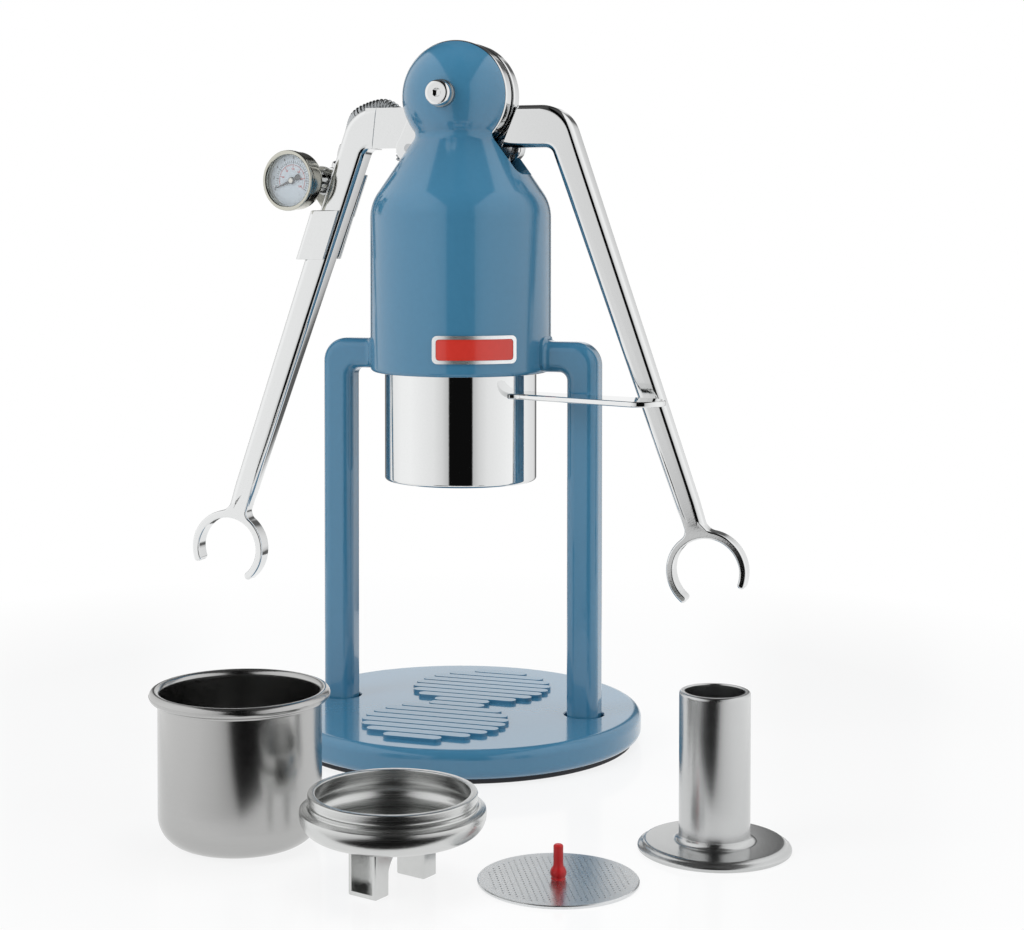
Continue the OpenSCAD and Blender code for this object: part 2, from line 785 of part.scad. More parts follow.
module gauge_bezel() {
    color(chrome) at_gauge() rotate_extrude()
        polygon([[gauge_r - bezel_w, -1.6], [gauge_r - bezel_w, -0.5], [gauge_r - bezel_w + 0.7, 0],
                 [gauge_r - 0.6, 0], [gauge_r, -0.6], [gauge_r, -2.6], [gauge_r - 0.45, -2.6],
                 [gauge_r - 0.45, -1.6]]);
}

module gauge_glass() {
    color([0.85, 0.92, 0.95, 0.4]) at_gauge() translate([0, 0, -2.15])
        cylinder(r = gauge_r - 0.6, h = 0.5);
}

module gauge_dial() {
    color("#b9c9d4") at_gauge() difference() {
        translate([0, 0, -4.6]) cylinder(r = gauge_r - 0.5 - case_wall - 0.05, h = 0.6);
        cylinder(r = 0.7, h = far, center = true, $fn = 32);
    }
}

module gauge_zero_peg() {
    color(steel) at_gauge() rotate([0, 0, zero_a]) translate([gauge_r - 4.1, -0.9, -4])
        cylinder(r = 0.45, h = 1.3, $fn = 24);
}

module gauge_needle() {
    color(rubber) at_gauge() rotate([0, 0, zero_a]) translate([0, 0, -3.5]) {
        difference() {
            linear_extrude(0.4) {
                polygon([[-4.8, -0.9], [0, -0.7], [gauge_r - 5.2, -0.15], [gauge_r - 5.2, 0.15],
                         [0, 0.7], [-4.8, 0.9]]);
                circle(r = 1.5, $fn = 48);
            }
            translate([0, 0, -1]) cylinder(r = 0.5, h = 3, $fn = 32);
        }
    }
}

module needle_cap() {
    color(brass) at_gauge() {
        translate([0, 0, -3.08]) cylinder(r = 1.2, h = 0.4, $fn = 32);
        translate([0, 0, -6]) cylinder(r = 0.48, h = 2.95, $fn = 32);
    }
}

module gauge_bourdon_tube() {
    color(brass) at_gauge() translate([0, 0, -8.6]) rotate([0, 0, 60])
        rotate_extrude(angle = 250) translate([8, 0]) square([1.2, 2.4], center = false);
}

module gauge_movement() {
    color(brass) at_gauge() difference() {
        translate([-3.5, -4.5, -8.4]) cube([7, 9, 3.4]);
        cylinder(r = 0.6, h = far, center = true, $fn = 32);
    }
}

module gauge_stem() {
    color(chrome) at_gauge() difference() {
        union() {
            translate([0, 0, -stem_end]) cylinder(r = stem_r, h = stem_len - hair, $fn = 64);
            translate([0, 0, -gauge_h - 4]) cylinder(r = stem_r + 2, h = 4 - hair, $fn = 6);
        }
        translate([0, 0, -stem_end - 1]) cylinder(r = 1.2, h = stem_len - 2, $fn = 32);
    }
}

elbow_len = 9;
elbow_w = 9.5;
elbow_x = gauge_x + (stem_end + elbow_len / 2) * sin(gauge_yaw);
elbow_y = gauge_y + (stem_end + elbow_len / 2) * cos(gauge_yaw);
ferrule_a = forearm_a;

module gauge_elbow() {
    color(chrome) difference() {
        translate([elbow_x, elbow_y, gauge_z]) rotate([0, 0, -gauge_yaw]) rotate([0, ferrule_a, 0])
            rotate([90, 0, 0]) linear_extrude(elbow_len - 2 * hair, center = true)
                rounded_square(elbow_w, elbow_w + 3, 2);
        translate([elbow_x, elbow_y, gauge_z]) cylinder(r = 1.2, h = 4, $fn = 32);
    }
}

ferrule_r = 4.1;
ferrule_low = (elbow_w + 3) / 2;
ferrule_len = 11;

// Places a shape on top of the gauge's elbow, with +Z along the ferrule
module at_ferrule() {
    translate([elbow_x, elbow_y, gauge_z]) rotate([0, 0, -gauge_yaw]) rotate([0, ferrule_a, 0])
        translate([0, 0, ferrule_low]) children();
}

module hose_ferrule() {
    color(chrome) at_ferrule() rotate_extrude()
        polygon([[hose_bore_r, hair], [ferrule_r + 0.8, hair], [ferrule_r + 0.8, 2.4], [ferrule_r - 0.9, 3.4],
                 [ferrule_r - 0.2, 7], [ferrule_r - 0.2, ferrule_len], [hose_bore_r, ferrule_len]]);
}

// Clip of folded sheet round the left forearm
clip_low = gauge_z - 35.3;
clip_high = gauge_z - 13.3;
clip_top = gauge_z + 2.7;
clip_gap = 0.3;
clip_side = 3.6;
clip_lap = 2;
clip_front = -arm_back - clip_gap - clip_t;
clip_rear = -arm_front + clip_gap;

// Centre of the left forearm at a height, and half its width measured level
function forearm_x(z) = -(bend_x + (bend_z - z) * tan(forearm_a));
function forearm_half(z) =
    (forearm_w + (wrist_w - forearm_w) * (bend_z - z) / (bend_z - wrist_z)) / 2 / cos(forearm_a);
function outer_x(z) = forearm_x(z) - forearm_half(z);
function inner_x(z) = forearm_x(z) + forearm_half(z);

module clip_sheet(low, high, left, right) {
    polygon([[outer_x(low) - left, low], [inner_x(low) - right, low],
             [inner_x(high) - right, high], [outer_x(high) - left, high]]);
}

module gauge_clip() {
    stem_y_t = (clip_rear + clip_t / 2 - gauge_y) / cos(gauge_yaw);
    stem_x = gauge_x + stem_y_t * sin(gauge_yaw);
    color(chrome) difference() {
        union() {
            upright(clip_front, clip_front + clip_t) clip_sheet(clip_low, clip_high, clip_side, clip_lap);
            upright(clip_front, clip_rear + clip_t)
                polygon([[outer_x(clip_low) - clip_side, clip_low],
                         [outer_x(clip_low) - clip_side + clip_t, clip_low],
                         [outer_x(clip_high) - clip_side + clip_t, clip_high],
                         [outer_x(clip_high) - clip_side, clip_high]]);
            upright(clip_rear, clip_rear + clip_t) {
                clip_sheet(clip_low, clip_top, 0, 0);
                clip_sheet(clip_low, clip_high, clip_side, 0);
                translate([stem_x, gauge_z]) circle(r = stem_r + 3);
                translate([stem_x, gauge_z - 6]) square([outer_x(clip_top) - stem_x + 3, 8.7]);
            }
        }
        at_gauge() translate([0, 0, -far / 2]) cylinder(r = stem_r + 0.05, h = far / 2);
    }
}

// Ribbed hose: its route, a smooth curve through it, and its ribs
ferrule_out = ferrule_low + ferrule_len;
ferrule_dir = [sin(ferrule_a) * cos(gauge_yaw), -sin(ferrule_a) * sin(gauge_yaw), cos(ferrule_a)];
hose_start = [elbow_x, elbow_y, gauge_z] + (ferrule_out + 0.2) * ferrule_dir;
hose_over = [[-53, 10.2, -7.2], [-46, 9.2, -3.8], [-38.5, 8.6, -2.8], [-32.5, 7.6, -6.5],
             [-29.8, 6.6, -13], [-29.5, 6.5, -21], [-29.5, 6.5, -28]];
hose_route = [hose_start, hose_start + 7 * ferrule_dir, for (p = hose_over) p + [0, 0, axle_z]];
hose_sides = 8;
hose_root_r = hose_r - 0.6;

// A point between two knots of a smooth curve through all the knots
function knot(i) = hose_route[max(0, min(len(hose_route) - 1, i))];
function smooth(i, t) =
    let (a = knot(i - 1), b = knot(i), c = knot(i + 1), d = knot(i + 2))
    0.5 * (2 * b + (c - a) * t + (2 * a - 5 * b + 4 * c - d) * t * t + (3 * b - a - 3 * c + d) * t * t * t);
hose_fine = [for (i = [0:len(hose_route) - 2], j = [0:19]) smooth(i, j / 20), knot(len(hose_route))];
hose_runs = [for (i = 0, s = 0; i < len(hose_fine); i = i + 1,
                  s = i < len(hose_fine) ? s + norm(hose_fine[i] - hose_fine[i - 1]) : s) s];
hose_len = hose_runs[len(hose_runs) - 1];
function hose_at(s) =
    let (i = max([for (k = [0:len(hose_runs) - 2]) if (hose_runs[k] <= s) k]),
         step = hose_runs[i + 1] - hose_runs[i])
    hose_fine[i] + (hose_fine[i + 1] - hose_fine[i]) * min(1, (s - hose_runs[i]) / step);
function unit(v) = v / norm(v);
function hose_tangent(s) = unit(hose_at(min(s + 0.5, hose_len)) - hose_at(max(s - 0.5, 0)));
hose_plain = 2 * hose_r;
rib_total = floor((hose_len - 2 * hose_plain) / hose_rib_pitch);
// Rings along the hose: place on the route and outer radius
hose_rings = concat([[0, hose_root_r], [hose_plain, hose_root_r]],
                    [for (i = [0:rib_total - 1], e = [0, 1])
                         [hose_plain + (i + 0.3 + 0.45 * e) * hose_rib_pitch, e == 0 ? hose_r : hose_root_r]],
                    [[hose_len, hose_root_r]]);

function hose_ring(s, r) =
    let (p = hose_at(s), t = hose_tangent(s), u = unit(cross(t, [0, 1, 0])), v = cross(t, u))
    [for (k = [0:hose_sides - 1]) let (a = 360 * k / hose_sides) p + r * (cos(a) * u + sin(a) * v)];

module hose_skin(rings) {
    n = hose_sides;
    last = len(rings) - 1;
    points = [for (ring = rings) each hose_ring(ring[0], ring[1]),
              hose_at(rings[0][0]), hose_at(rings[last][0])];
    first_cap = n * len(rings);
    faces = concat(
        [for (i = [0:last - 1], k = [0:n - 1], half = [0, 1]) let (m = (k + 1) % n)
             half == 0 ? [i * n + k, (i + 1) * n + k, (i + 1) * n + m] : [i * n + k, (i + 1) * n + m, i * n + m]],
        [for (k = [0:n - 1]) [first_cap, k, (k + 1) % n]],
        [for (k = [0:n - 1]) [first_cap + 1, last * n + (k + 1) % n, last * n + k]]);
    polyhedron(points, faces, convexity = 6);
}

module gauge_hose() {
    bore_rings = [for (i = [0:24]) [hose_len * i / 24, hose_bore_r]];
    color(steel) difference() {
        hose_skin(hose_rings);
        hose_skin(bore_rings);
    }
}

// Loose pieces that stand in front of the base

basket_at = [-29.5, -167.6];
spout_at = [41, -195];
screen_at = [94.4, -174.2];
tamper_at = [138.5, -121];
basket_corner = 11;
rim_roll = 1.7;

module basket() {
    inner_corner = basket_corner - basket_wall;
    outer = concat([[0, 0]], arc_pts(basket_r - basket_corner, basket_corner, basket_corner, -90, 0, 8),
                   [[basket_r, basket_h - rim_roll], [0, basket_h - rim_roll]]);
    inner = concat([[0, basket_wall]],
                   arc_pts(basket_r - basket_corner, basket_corner, inner_corner, -90, 0, 8),
                   [[basket_r - basket_wall, basket_h + 1], [0, basket_h + 1]]);
    color(steel) translate([basket_at[0], basket_at[1], 0]) difference() {
        union() {
            rotate_extrude() polygon(outer);
            rotate_extrude() polygon(concat([[basket_r - basket_wall, basket_h]],
                [[basket_r - basket_wall, basket_h - 2 * rim_roll]],
                arc_pts(basket_rim_r - rim_roll, basket_h - rim_roll, rim_roll, -90, 90, 8)));
        }
        rotate_extrude() polygon(inner);
        for (ring = [1:3], i = [0:6 * ring - 1]) rotate(60 * i / ring)
            translate([5 * ring, 0, -1]) cylinder(r = 0.6, h = 3, $fn = 16);
    }
}

spout_wall = 1.6;
spout_corner = 7;
spout_neck = 0.8;
outlet_gap = 27;
outlet_w = 12;
outlet_l = 7.5;
outlet_wall = 1.4;
outlet_turn = -17;

module spout_bowl() {
    belly_z = spout_bowl_z + spout_corner;
    shelf_z = belly_z + 2.4;
    throat_r = spout_rim_r - spout_wall - 1;
    outer = concat([[0, spout_bowl_z]],
                   arc_pts(spout_r - spout_corner, belly_z, spout_corner, -90, 12, 8),
                   [[spout_rim_r + 0.9, shelf_z], [spout_rim_r, shelf_z], [spout_rim_r, shelf_z + 1.6],
                    [spout_rim_r - spout_neck, shelf_z + 1.6], [spout_rim_r - spout_neck, shelf_z + 2.3],
                    [spout_rim_r, shelf_z + 2.3], [spout_rim_r, spout_h], [0, spout_h]]);
    inner = concat([[0, spout_bowl_z + spout_wall]],
                   arc_pts(spout_r - spout_corner, belly_z, spout_corner - spout_wall, -90, 0, 8),
                   [[throat_r, shelf_z], [throat_r, spout_h + 1], [0, spout_h + 1]]);
    color(chrome) translate([spout_at[0], spout_at[1], 0]) difference() {
        union() {
            rotate_extrude() polygon(outer);
            rotate(outlet_turn) {
                for (side = [-1, 1])
                    translate([-outlet_w / 2, side * outlet_gap / 2 - outlet_l / 2, 0])
                        cube([outlet_w, outlet_l, spout_bowl_z + 1]);
                difference() {
                    translate([-outlet_w / 2, -outlet_gap / 2, spout_bowl_z - 9])
                        cube([outlet_w, outlet_gap, 10]);
                    translate([-outlet_w, 0, spout_bowl_z - 13]) rotate([0, 90, 0])
                        cylinder(r = outlet_gap / 2 - outlet_l / 2 + 0.6, h = 2 * outlet_w);
                }
            }
        }
        rotate_extrude() polygon(inner);
        rotate(outlet_turn) for (side = [0, 180]) rotate(side)
            translate([-outlet_w / 2 + outlet_wall, outlet_gap / 2 - outlet_l / 2 + outlet_wall, outlet_wall])
                cube([outlet_w - 2 * outlet_wall, outlet_l, spout_bowl_z - outlet_wall + spout_wall / 2]);
        rotate(outlet_turn) for (side = [-1, 1])
            translate([-outlet_w / 2 + outlet_wall, side * outlet_gap / 2 - outlet_l / 2 + outlet_wall,
                       spout_bowl_z - 2])
                cube([outlet_w - 2 * outlet_wall, outlet_l - 2 * outlet_wall, 6]);
    }
}

module dispersion_screen() {
    color(steel) translate([screen_at[0], screen_at[1], 0]) difference() {
        cylinder(r = screen_r, h = screen_h);
        for (ix = [-5:5], iy = [-5:5]) if (norm([ix, iy]) * 4 < screen_r - 5 && norm([ix, iy]) > 0.5)
            rotate(25) translate([ix * 4, iy * 4, -1]) cylinder(r = 0.7, h = screen_h + 2, $fn = 16);
        translate([0, 0, -1]) cylinder(r = 1.3, h = screen_h + 2, $fn = 48);
    }
}

knob_stem_r = 1.75;
knob_bulge_r = 2.8;

module screen_knob() {
    color("#b0342c") translate([screen_at[0], screen_at[1], 0]) {
        translate([0, 0, 0.1]) cylinder(r = 1.25, h = screen_h, $fn = 48);
        translate([0, 0, screen_h]) rotate_extrude()
            polygon(concat([[0, 0]], arc_pts(0, knob_bulge_r - 0.6, knob_bulge_r, -12, 50, 5),
                           [[knob_stem_r, knob_h - 1], [knob_stem_r - 0.7, knob_h], [0, knob_h]]));
    }
}

tamper_edge_h = 1.2;
tamper_base_h = 3.4;
tamper_top_r = tamper_r - 1.6;
tamper_fillet = 2;

module tamper_base() {
    color(chrome) translate([tamper_at[0], tamper_at[1], 0]) difference() {
        rotate_extrude()
            polygon(concat([[0, 0], [tamper_r, 0], [tamper_r, tamper_edge_h], [tamper_top_r, tamper_base_h]],
                           arc_pts(tamper_stem_r + tamper_fillet + hair, tamper_base_h + tamper_fillet,
                                   tamper_fillet, -90, -180, 6),
                           [[0, tamper_base_h + tamper_fillet]]));
        translate([0, 0, tamper_base_h - 1]) cylinder(r = tamper_stem_r + 0.02, h = 20);
    }
}

module tamper_stem() {
    color(chrome) translate([tamper_at[0], tamper_at[1], 0]) rotate_extrude()
        polygon(concat([[tamper_stem_r - tamper_wall, tamper_base_h - 1], [tamper_stem_r, tamper_base_h - 1]],
                       arc_pts(tamper_stem_r - 1.5, tamper_h - 1.5, 1.5, 0, 90, 4),
                       [[tamper_stem_r - tamper_wall, tamper_h]]));
}

base_plate();
base_foot_ring();
leg_screws();
left_leg();
right_leg();
bell_casting();
group_ring();
rod_guide_bush();
axle_shaft();
axle_cap_nuts();
axle_washers();
axle_spacer();
badge_border();
badge_plate();
left_arm();
left_arm_bush();
left_crank_pin();
right_arm();
right_arm_bush();
right_crank_pin();
left_link();
left_link_pin();
right_link();
right_link_pin();
crosshead();
piston_rod();
rod_lock_nut();
piston_head();
piston_seal();
piston_screw();
portafilter_cup();
portafilter_handle();
gauge_clip();
gauge_case();
gauge_bezel();
gauge_glass();
gauge_dial();
gauge_zero_peg();
gauge_bourdon_tube();
gauge_movement();
gauge_stem();
gauge_elbow();
gauge_needle();
needle_cap();
hose_ferrule();
gauge_hose();
basket();
spout_bowl();
dispersion_screen();
screen_knob();
tamper_base();
tamper_stem();
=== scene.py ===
import json
import math

import bpy
from bpy.props import FloatProperty, FloatVectorProperty
from mathutils import Matrix, Vector

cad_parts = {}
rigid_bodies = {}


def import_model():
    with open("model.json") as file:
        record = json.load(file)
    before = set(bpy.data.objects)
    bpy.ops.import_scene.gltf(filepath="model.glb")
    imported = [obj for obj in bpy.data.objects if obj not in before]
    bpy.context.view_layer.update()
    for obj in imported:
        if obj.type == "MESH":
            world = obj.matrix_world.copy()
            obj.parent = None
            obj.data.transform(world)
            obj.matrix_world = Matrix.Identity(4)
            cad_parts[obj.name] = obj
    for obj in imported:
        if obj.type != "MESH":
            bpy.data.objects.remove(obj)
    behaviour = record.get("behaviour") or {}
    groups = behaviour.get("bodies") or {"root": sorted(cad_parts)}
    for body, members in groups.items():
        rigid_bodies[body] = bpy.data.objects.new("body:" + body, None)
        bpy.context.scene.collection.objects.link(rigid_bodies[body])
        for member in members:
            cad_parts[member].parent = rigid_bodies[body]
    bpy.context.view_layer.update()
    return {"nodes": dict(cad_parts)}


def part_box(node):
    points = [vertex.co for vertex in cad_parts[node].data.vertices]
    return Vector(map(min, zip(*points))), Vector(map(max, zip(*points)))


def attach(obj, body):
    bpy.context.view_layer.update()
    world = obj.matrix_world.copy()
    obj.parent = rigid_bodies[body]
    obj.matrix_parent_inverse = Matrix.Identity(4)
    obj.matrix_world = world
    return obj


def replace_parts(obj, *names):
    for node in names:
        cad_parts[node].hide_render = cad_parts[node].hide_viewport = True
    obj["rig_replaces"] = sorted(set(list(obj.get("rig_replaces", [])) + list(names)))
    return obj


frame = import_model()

bl_info = {
    "name": "Manual lever espresso maker",
    "version": (1, 0, 0),
    "blender": (4, 5, 0),
    "location": "View3D > Sidebar > Espresso",
    "description": "Builds the visible pieces of a lever espresso maker round its packed frame",
    "category": "Add Mesh",
}

MM = 0.001

# Places in mm and angles in degrees that several pieces share
LEG_INSET = 23.2
BELL_DROP = 121.2
GAUGE_DROP = 36.7
GAUGE_AT = (-74.8, -20)
GAUGE_YAW = 13
ELBOW_AT = (-65.914, 18.487)
DIAL_ZERO = 206.5
SLANT = 19
BEND_DROP = 24.9


# Small measures

def turn(degrees, axis):
    return Matrix.Rotation(math.radians(degrees), 4, axis)


def shift(x, y, z):
    return Matrix.Translation((x * MM, y * MM, z * MM))


def arc(cx, cz, r, start, end, steps=8):
    """Points in mm on an arc."""
    angles = [math.radians(start + (end - start) * i / steps) for i in range(steps + 1)]
    return [(cx + r * math.cos(a), cz + r * math.sin(a)) for a in angles]


def soft_corner(before, corner, after, steps):
    """Points in mm on a smooth curve that cuts a corner."""
    b, c, a = Vector(before), Vector(corner), Vector(after)
    found = []
    for i in range(steps + 1):
        t = i / steps
        p = b * (1 - t) ** 2 + c * 2 * t * (1 - t) + a * t * t
        found.append((p.x, p.y))
    return found


def standing(points, y):
    """Points in mm of the x and z plane, in metres at a y in mm."""
    return [Vector((x * MM, y * MM, z * MM)) for x, z in points]


def lying(points, z):
    """Points in mm of the x and y plane, in metres at a z in mm."""
    return [Vector((x * MM, y * MM, z * MM)) for x, y in points]


# Modelling with Blender's own operators

def clear():
    """Leaves edit mode and deselects everything."""
    if bpy.context.mode != "OBJECT":
        bpy.ops.object.mode_set(mode="OBJECT")
    bpy.ops.object.select_all(action="DESELECT")


def pick(piece):
    clear()
    piece.select_set(True)
    bpy.context.view_layer.objects.active = piece


def edit(piece, mode="VERT"):
    """Opens a piece for editing with all of it selected."""
    pick(piece)
    bpy.ops.object.mode_set(mode="EDIT")
    bpy.ops.mesh.select_mode(type=mode)
    bpy.ops.mesh.select_all(action="SELECT")


def named(name):
    piece = bpy.context.object
    piece.name = name
    piece.data.name = name
    return piece


def push(step):
    """Extrudes what is selected by a step in metres."""
    bpy.ops.mesh.extrude_region_move(TRANSFORM_OT_translate={"value": tuple(step)})


def seal():
    """Merges what meets, fills open ends, turns the faces outwards and leaves edit mode."""
    bpy.ops.mesh.select_all(action="SELECT")
    bpy.ops.mesh.remove_doubles(threshold=5e-6)
    bpy.ops.mesh.fill_holes(sides=0)
    bpy.ops.mesh.select_all(action="SELECT")
    bpy.ops.mesh.normals_make_consistent(inside=False)
    bpy.ops.object.mode_set(mode="OBJECT")


def turned(name, profile, steps):
    """A piece turned about Z: a ring is extruded and resized from point to point of a profile in mm."""
    clear()
    r, z = profile[0]
    bpy.ops.mesh.primitive_circle_add(vertices=steps, radius=r * MM, location=(0, 0, z * MM))
    piece = named(name)
    edit(piece)
    for next_r, next_z in profile[1:]:
        push((0, 0, (next_z - z) * MM))
        grow = next_r / r
        if abs(grow - 1) > 1e-9:
            bpy.ops.transform.resize(value=(grow, grow, 1), center_override=(0, 0, next_z * MM))
        r, z = next_r, next_z
    seal()
    return place(piece, Matrix.Identity(4))


def traced(name, outline, depth):
    """A plate: corners are extruded from point to point of an outline, filled, and given a depth."""
    clear()
    bpy.ops.mesh.primitive_plane_add(size=MM, location=outline[0])
    piece = named(name)
    edit(piece)
    bpy.ops.mesh.merge(type="CENTER")
    last = outline[0]
    for point in outline[1:] + outline[:1]:
        push(point - last)
        last = point
    bpy.ops.mesh.select_all(action="SELECT")
    bpy.ops.mesh.remove_doubles(threshold=5e-6)
    bpy.ops.mesh.edge_face_add()
    push(depth)
    seal()
    return place(piece, Matrix.Identity(4))


def modify(piece, kind, **values):
    """Adds a modifier, sets its values and applies it."""
    pick(piece)
    bpy.ops.object.modifier_add(type=kind)
    modifier = piece.modifiers[-1]
    for key, value in values.items():
        setattr(modifier, key, value)
    bpy.ops.object.modifier_apply(modifier=modifier.name)


def rounded(piece, width, segments, angle):
    """Rounds the sharp edges of a piece by a width in mm."""
    modify(piece, "BEVEL", width=width * MM, segments=segments, limit_method="ANGLE",
           angle_limit=math.radians(angle), use_clamp_overlap=True)


def combine(piece, tool, operation):
    modify(piece, "BOOLEAN", object=tool, operation=operation, solver="EXACT")
    bpy.data.objects.remove(tool)


def place(piece, matrix):
    """Puts a piece in place and applies that to its mesh."""
    piece.matrix_world = matrix @ piece.matrix_world
    pick(piece)
    bpy.ops.object.transform_apply(location=True, rotation=True, scale=True)
    return piece


def copy_of(piece, name, matrix):
    """A copy with a mesh of its own, moved by a matrix."""
    pick(piece)
    bpy.ops.object.duplicate(linked=False)
    return place(named(name), matrix)


def joined(pieces, name):
    clear()
    for piece in pieces:
        piece.select_set(True)
    bpy.context.view_layer.objects.active = pieces[0]
    bpy.ops.object.join()
    return named(name)


def choose(piece, test, mode="VERT"):
    """Selects the corners, edges or faces whose middle in mm passes a test, and opens the piece."""
    edit(piece, mode)
    bpy.ops.mesh.select_all(action="DESELECT")
    bpy.ops.object.mode_set(mode="OBJECT")
    mesh = piece.data
    if mode == "VERT":
        for vert in mesh.vertices:
            vert.select = test(vert.co / MM)
    elif mode == "EDGE":
        for edge in mesh.edges:
            a, b = (mesh.vertices[i].co / MM for i in edge.vertices)
            edge.select = test((a + b) / 2, b - a)
    else:
        for face in mesh.polygons:
            face.select = test(face.center / MM, face.normal)
    bpy.ops.object.mode_set(mode="EDIT")


def finish(piece, body, material, nodes=(), smooth=35):
    """Applies the place of a piece, smooths it, and gives it its finish and its body."""
    pick(piece)
    bpy.ops.object.transform_apply(location=True, rotation=True, scale=True)
    bpy.ops.object.shade_smooth_by_angle(angle=math.radians(smooth))
    modify(piece, "WEIGHTED_NORMAL", keep_sharp=True)
    piece.data.materials.clear()
    piece.data.materials.append(material)
    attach(piece, body)
    if nodes:
        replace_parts(piece, *nodes)
    return piece


# Finishes

def feed(node, given):
    """Links each input of a node that is given as a socket, and sets the others."""
    for key, value in given.items():
        if isinstance(value, bpy.types.NodeSocket):
            node.id_data.links.new(value, node.inputs[key])
        else:
            node.inputs[key].default_value = value


def add(tree, kind, given=None, **settings):
    """Adds a shader node with its settings and its inputs."""
    node = tree.nodes.new(kind)
    for key, value in settings.items():
        setattr(node, key, value)
    feed(node, given or {})
    return node


def reckon(tree, operation, *values):
    """What a math node makes of sockets and numbers."""
    return add(tree, "ShaderNodeMath", dict(enumerate(values)), operation=operation).outputs[0]


def spread_over(tree, value, start, end, low, high):
    """A value between start and end, spread from low to high."""
    given = {"Value": value, "From Min": start, "From Max": end, "To Min": low, "To Max": high}
    return add(tree, "ShaderNodeMapRange", given).outputs["Result"]


def halfway(tree, a, b):
    return add(tree, "ShaderNodeMix", {"Factor": 0.5, "A": a, "B": b}, data_type="FLOAT").outputs["Result"]


def own_place(tree):
    return add(tree, "ShaderNodeTexCoord").outputs["Object"]


def new_material(name):
    """A material with Blender's own shader, and its node tree."""
    made = bpy.data.materials.new(name)
    made.use_nodes = True
    return made, made.node_tree


def shared_group(name, inputs, outputs, fill):
    """A node group that is made once. fill gets its tree and given sockets, and returns what it puts out."""
    tree = bpy.data.node_groups.get(name)
    if tree:
        return tree
    tree = bpy.data.node_groups.new(name, "ShaderNodeTree")
    for label, kind, default in inputs:
        socket = tree.interface.new_socket(label, in_out="INPUT", socket_type="NodeSocket" + kind)
        if default is not None:
            socket.default_value = default
    for label, kind in outputs:
        tree.interface.new_socket(label, in_out="OUTPUT", socket_type="NodeSocket" + kind)
    made = fill(tree, tree.nodes.new("NodeGroupInput").outputs)
    feed(tree.nodes.new("NodeGroupOutput"), dict(enumerate(made)))
    return tree


def cloud_group():
    """Slow and fine unevenness of a surface: a value about the middle, and a height."""
    def fill(tree, given):
        noise = []
        for label, detail in (("Broad", 3.0), ("Fine", 2.0)):
            look = {"Vector": given["Vector"], "Scale": given[label], "Detail": detail}
            noise.append(add(tree, "ShaderNodeTexNoise", look).outputs["Fac"])
        return halfway(tree, *noise), noise[1]

    return shared_group("surface_cloud",
                        [("Vector", "Vector", None), ("Broad", "Float", 20.0), ("Fine", "Float", 900.0)],
                        [("Value", "Float"), ("Height", "Float")], fill)


def line_group():
    """Fine lines left by brushing or turning: noise that is stretched along one direction."""
    def fill(tree, given):
        ends = {0: given["Vector"], 1: given["Stretch"]}
        scaled = add(tree, "ShaderNodeVectorMath", ends, operation="MULTIPLY").outputs["Vector"]
        wide = {"Vector": scaled, "Scale": 1.0, "Detail": 4.0, "Roughness": 0.7}
        narrow = {"Vector": scaled, "Scale": 6.0, "Detail": 2.0}
        noise = [add(tree, "ShaderNodeTexNoise", look).outputs["Fac"] for look in (wide, narrow)]
        return halfway(tree, *noise), noise[1]

    return shared_group("tool_lines", [("Vector", "Vector", None), ("Stretch", "Vector", (1.0, 1.0, 1.0))],
                        [("Value", "Float"), ("Height", "Float")], fill)


def round_group():
    """Turns a place round a standing axis into its distance from it and its height."""
    def fill(tree, given):
        parts = add(tree, "ShaderNodeSeparateXYZ", {0: given["Vector"]}).outputs
        flat = add(tree, "ShaderNodeCombineXYZ", {"X": parts["X"], "Y": parts["Y"]}).outputs[0]
        length = add(tree, "ShaderNodeVectorMath", {0: flat}, operation="LENGTH").outputs["Value"]
        return [add(tree, "ShaderNodeCombineXYZ", {"X": length, "Z": parts["Z"]}).outputs[0]]

    return shared_group("round_lines", [("Vector", "Vector", None)], [("Vector", "Vector")], fill)


def material(name, colour, metallic=0.0, roughness=0.4, variation=0.06, spread=0.05, bump=0.02,
             broad=20.0, fine=900.0, lines=None, centre=None, coat=0.0):
    """A finish with uneven colour, uneven gloss and a fine grain. With lines, which stretch the grain, it is
    turned: the grain runs round a standing axis at centre, in mm."""
    found = bpy.data.materials.get(name)
    if found:
        return found
    made, tree = new_material(name)
    where = own_place(tree)
    if lines:
        centred = {"Vector": where, "Location": (-centre[0] * MM, -centre[1] * MM, 0)}
        centred = add(tree, "ShaderNodeMapping", centred, vector_type="POINT").outputs["Vector"]
        around = add(tree, "ShaderNodeGroup", node_tree=round_group())
        feed(around, {"Vector": centred})
        uneven = add(tree, "ShaderNodeGroup", {"Vector": around.outputs["Vector"], "Stretch": lines},
                     node_tree=line_group())
    else:
        uneven = add(tree, "ShaderNodeGroup", {"Vector": where, "Broad": broad, "Fine": fine},
                     node_tree=cloud_group())
    value = uneven.outputs["Value"]
    shade = add(tree, "ShaderNodeValToRGB", {"Fac": value})
    for element, at, share in zip(shade.color_ramp.elements, (0.3, 0.7), (1 - variation, 1 + variation)):
        element.position = at
        element.color = (*(min(1.0, c * share) for c in colour), 1)
    grain = add(tree, "ShaderNodeBump",
                {"Strength": bump, "Distance": 0.0002, "Height": uneven.outputs["Height"]})
    feed(tree.nodes["Principled BSDF"], {
        "Base Color": shade.outputs["Color"], "Metallic": metallic, "IOR": 1.5,
        "Roughness": spread_over(tree, value, 0.25, 0.75, max(0.0, roughness - spread), roughness + spread),
        "Coat Weight": coat, "Coat Roughness": 0.03, "Normal": grain.outputs["Normal"]})
    return made


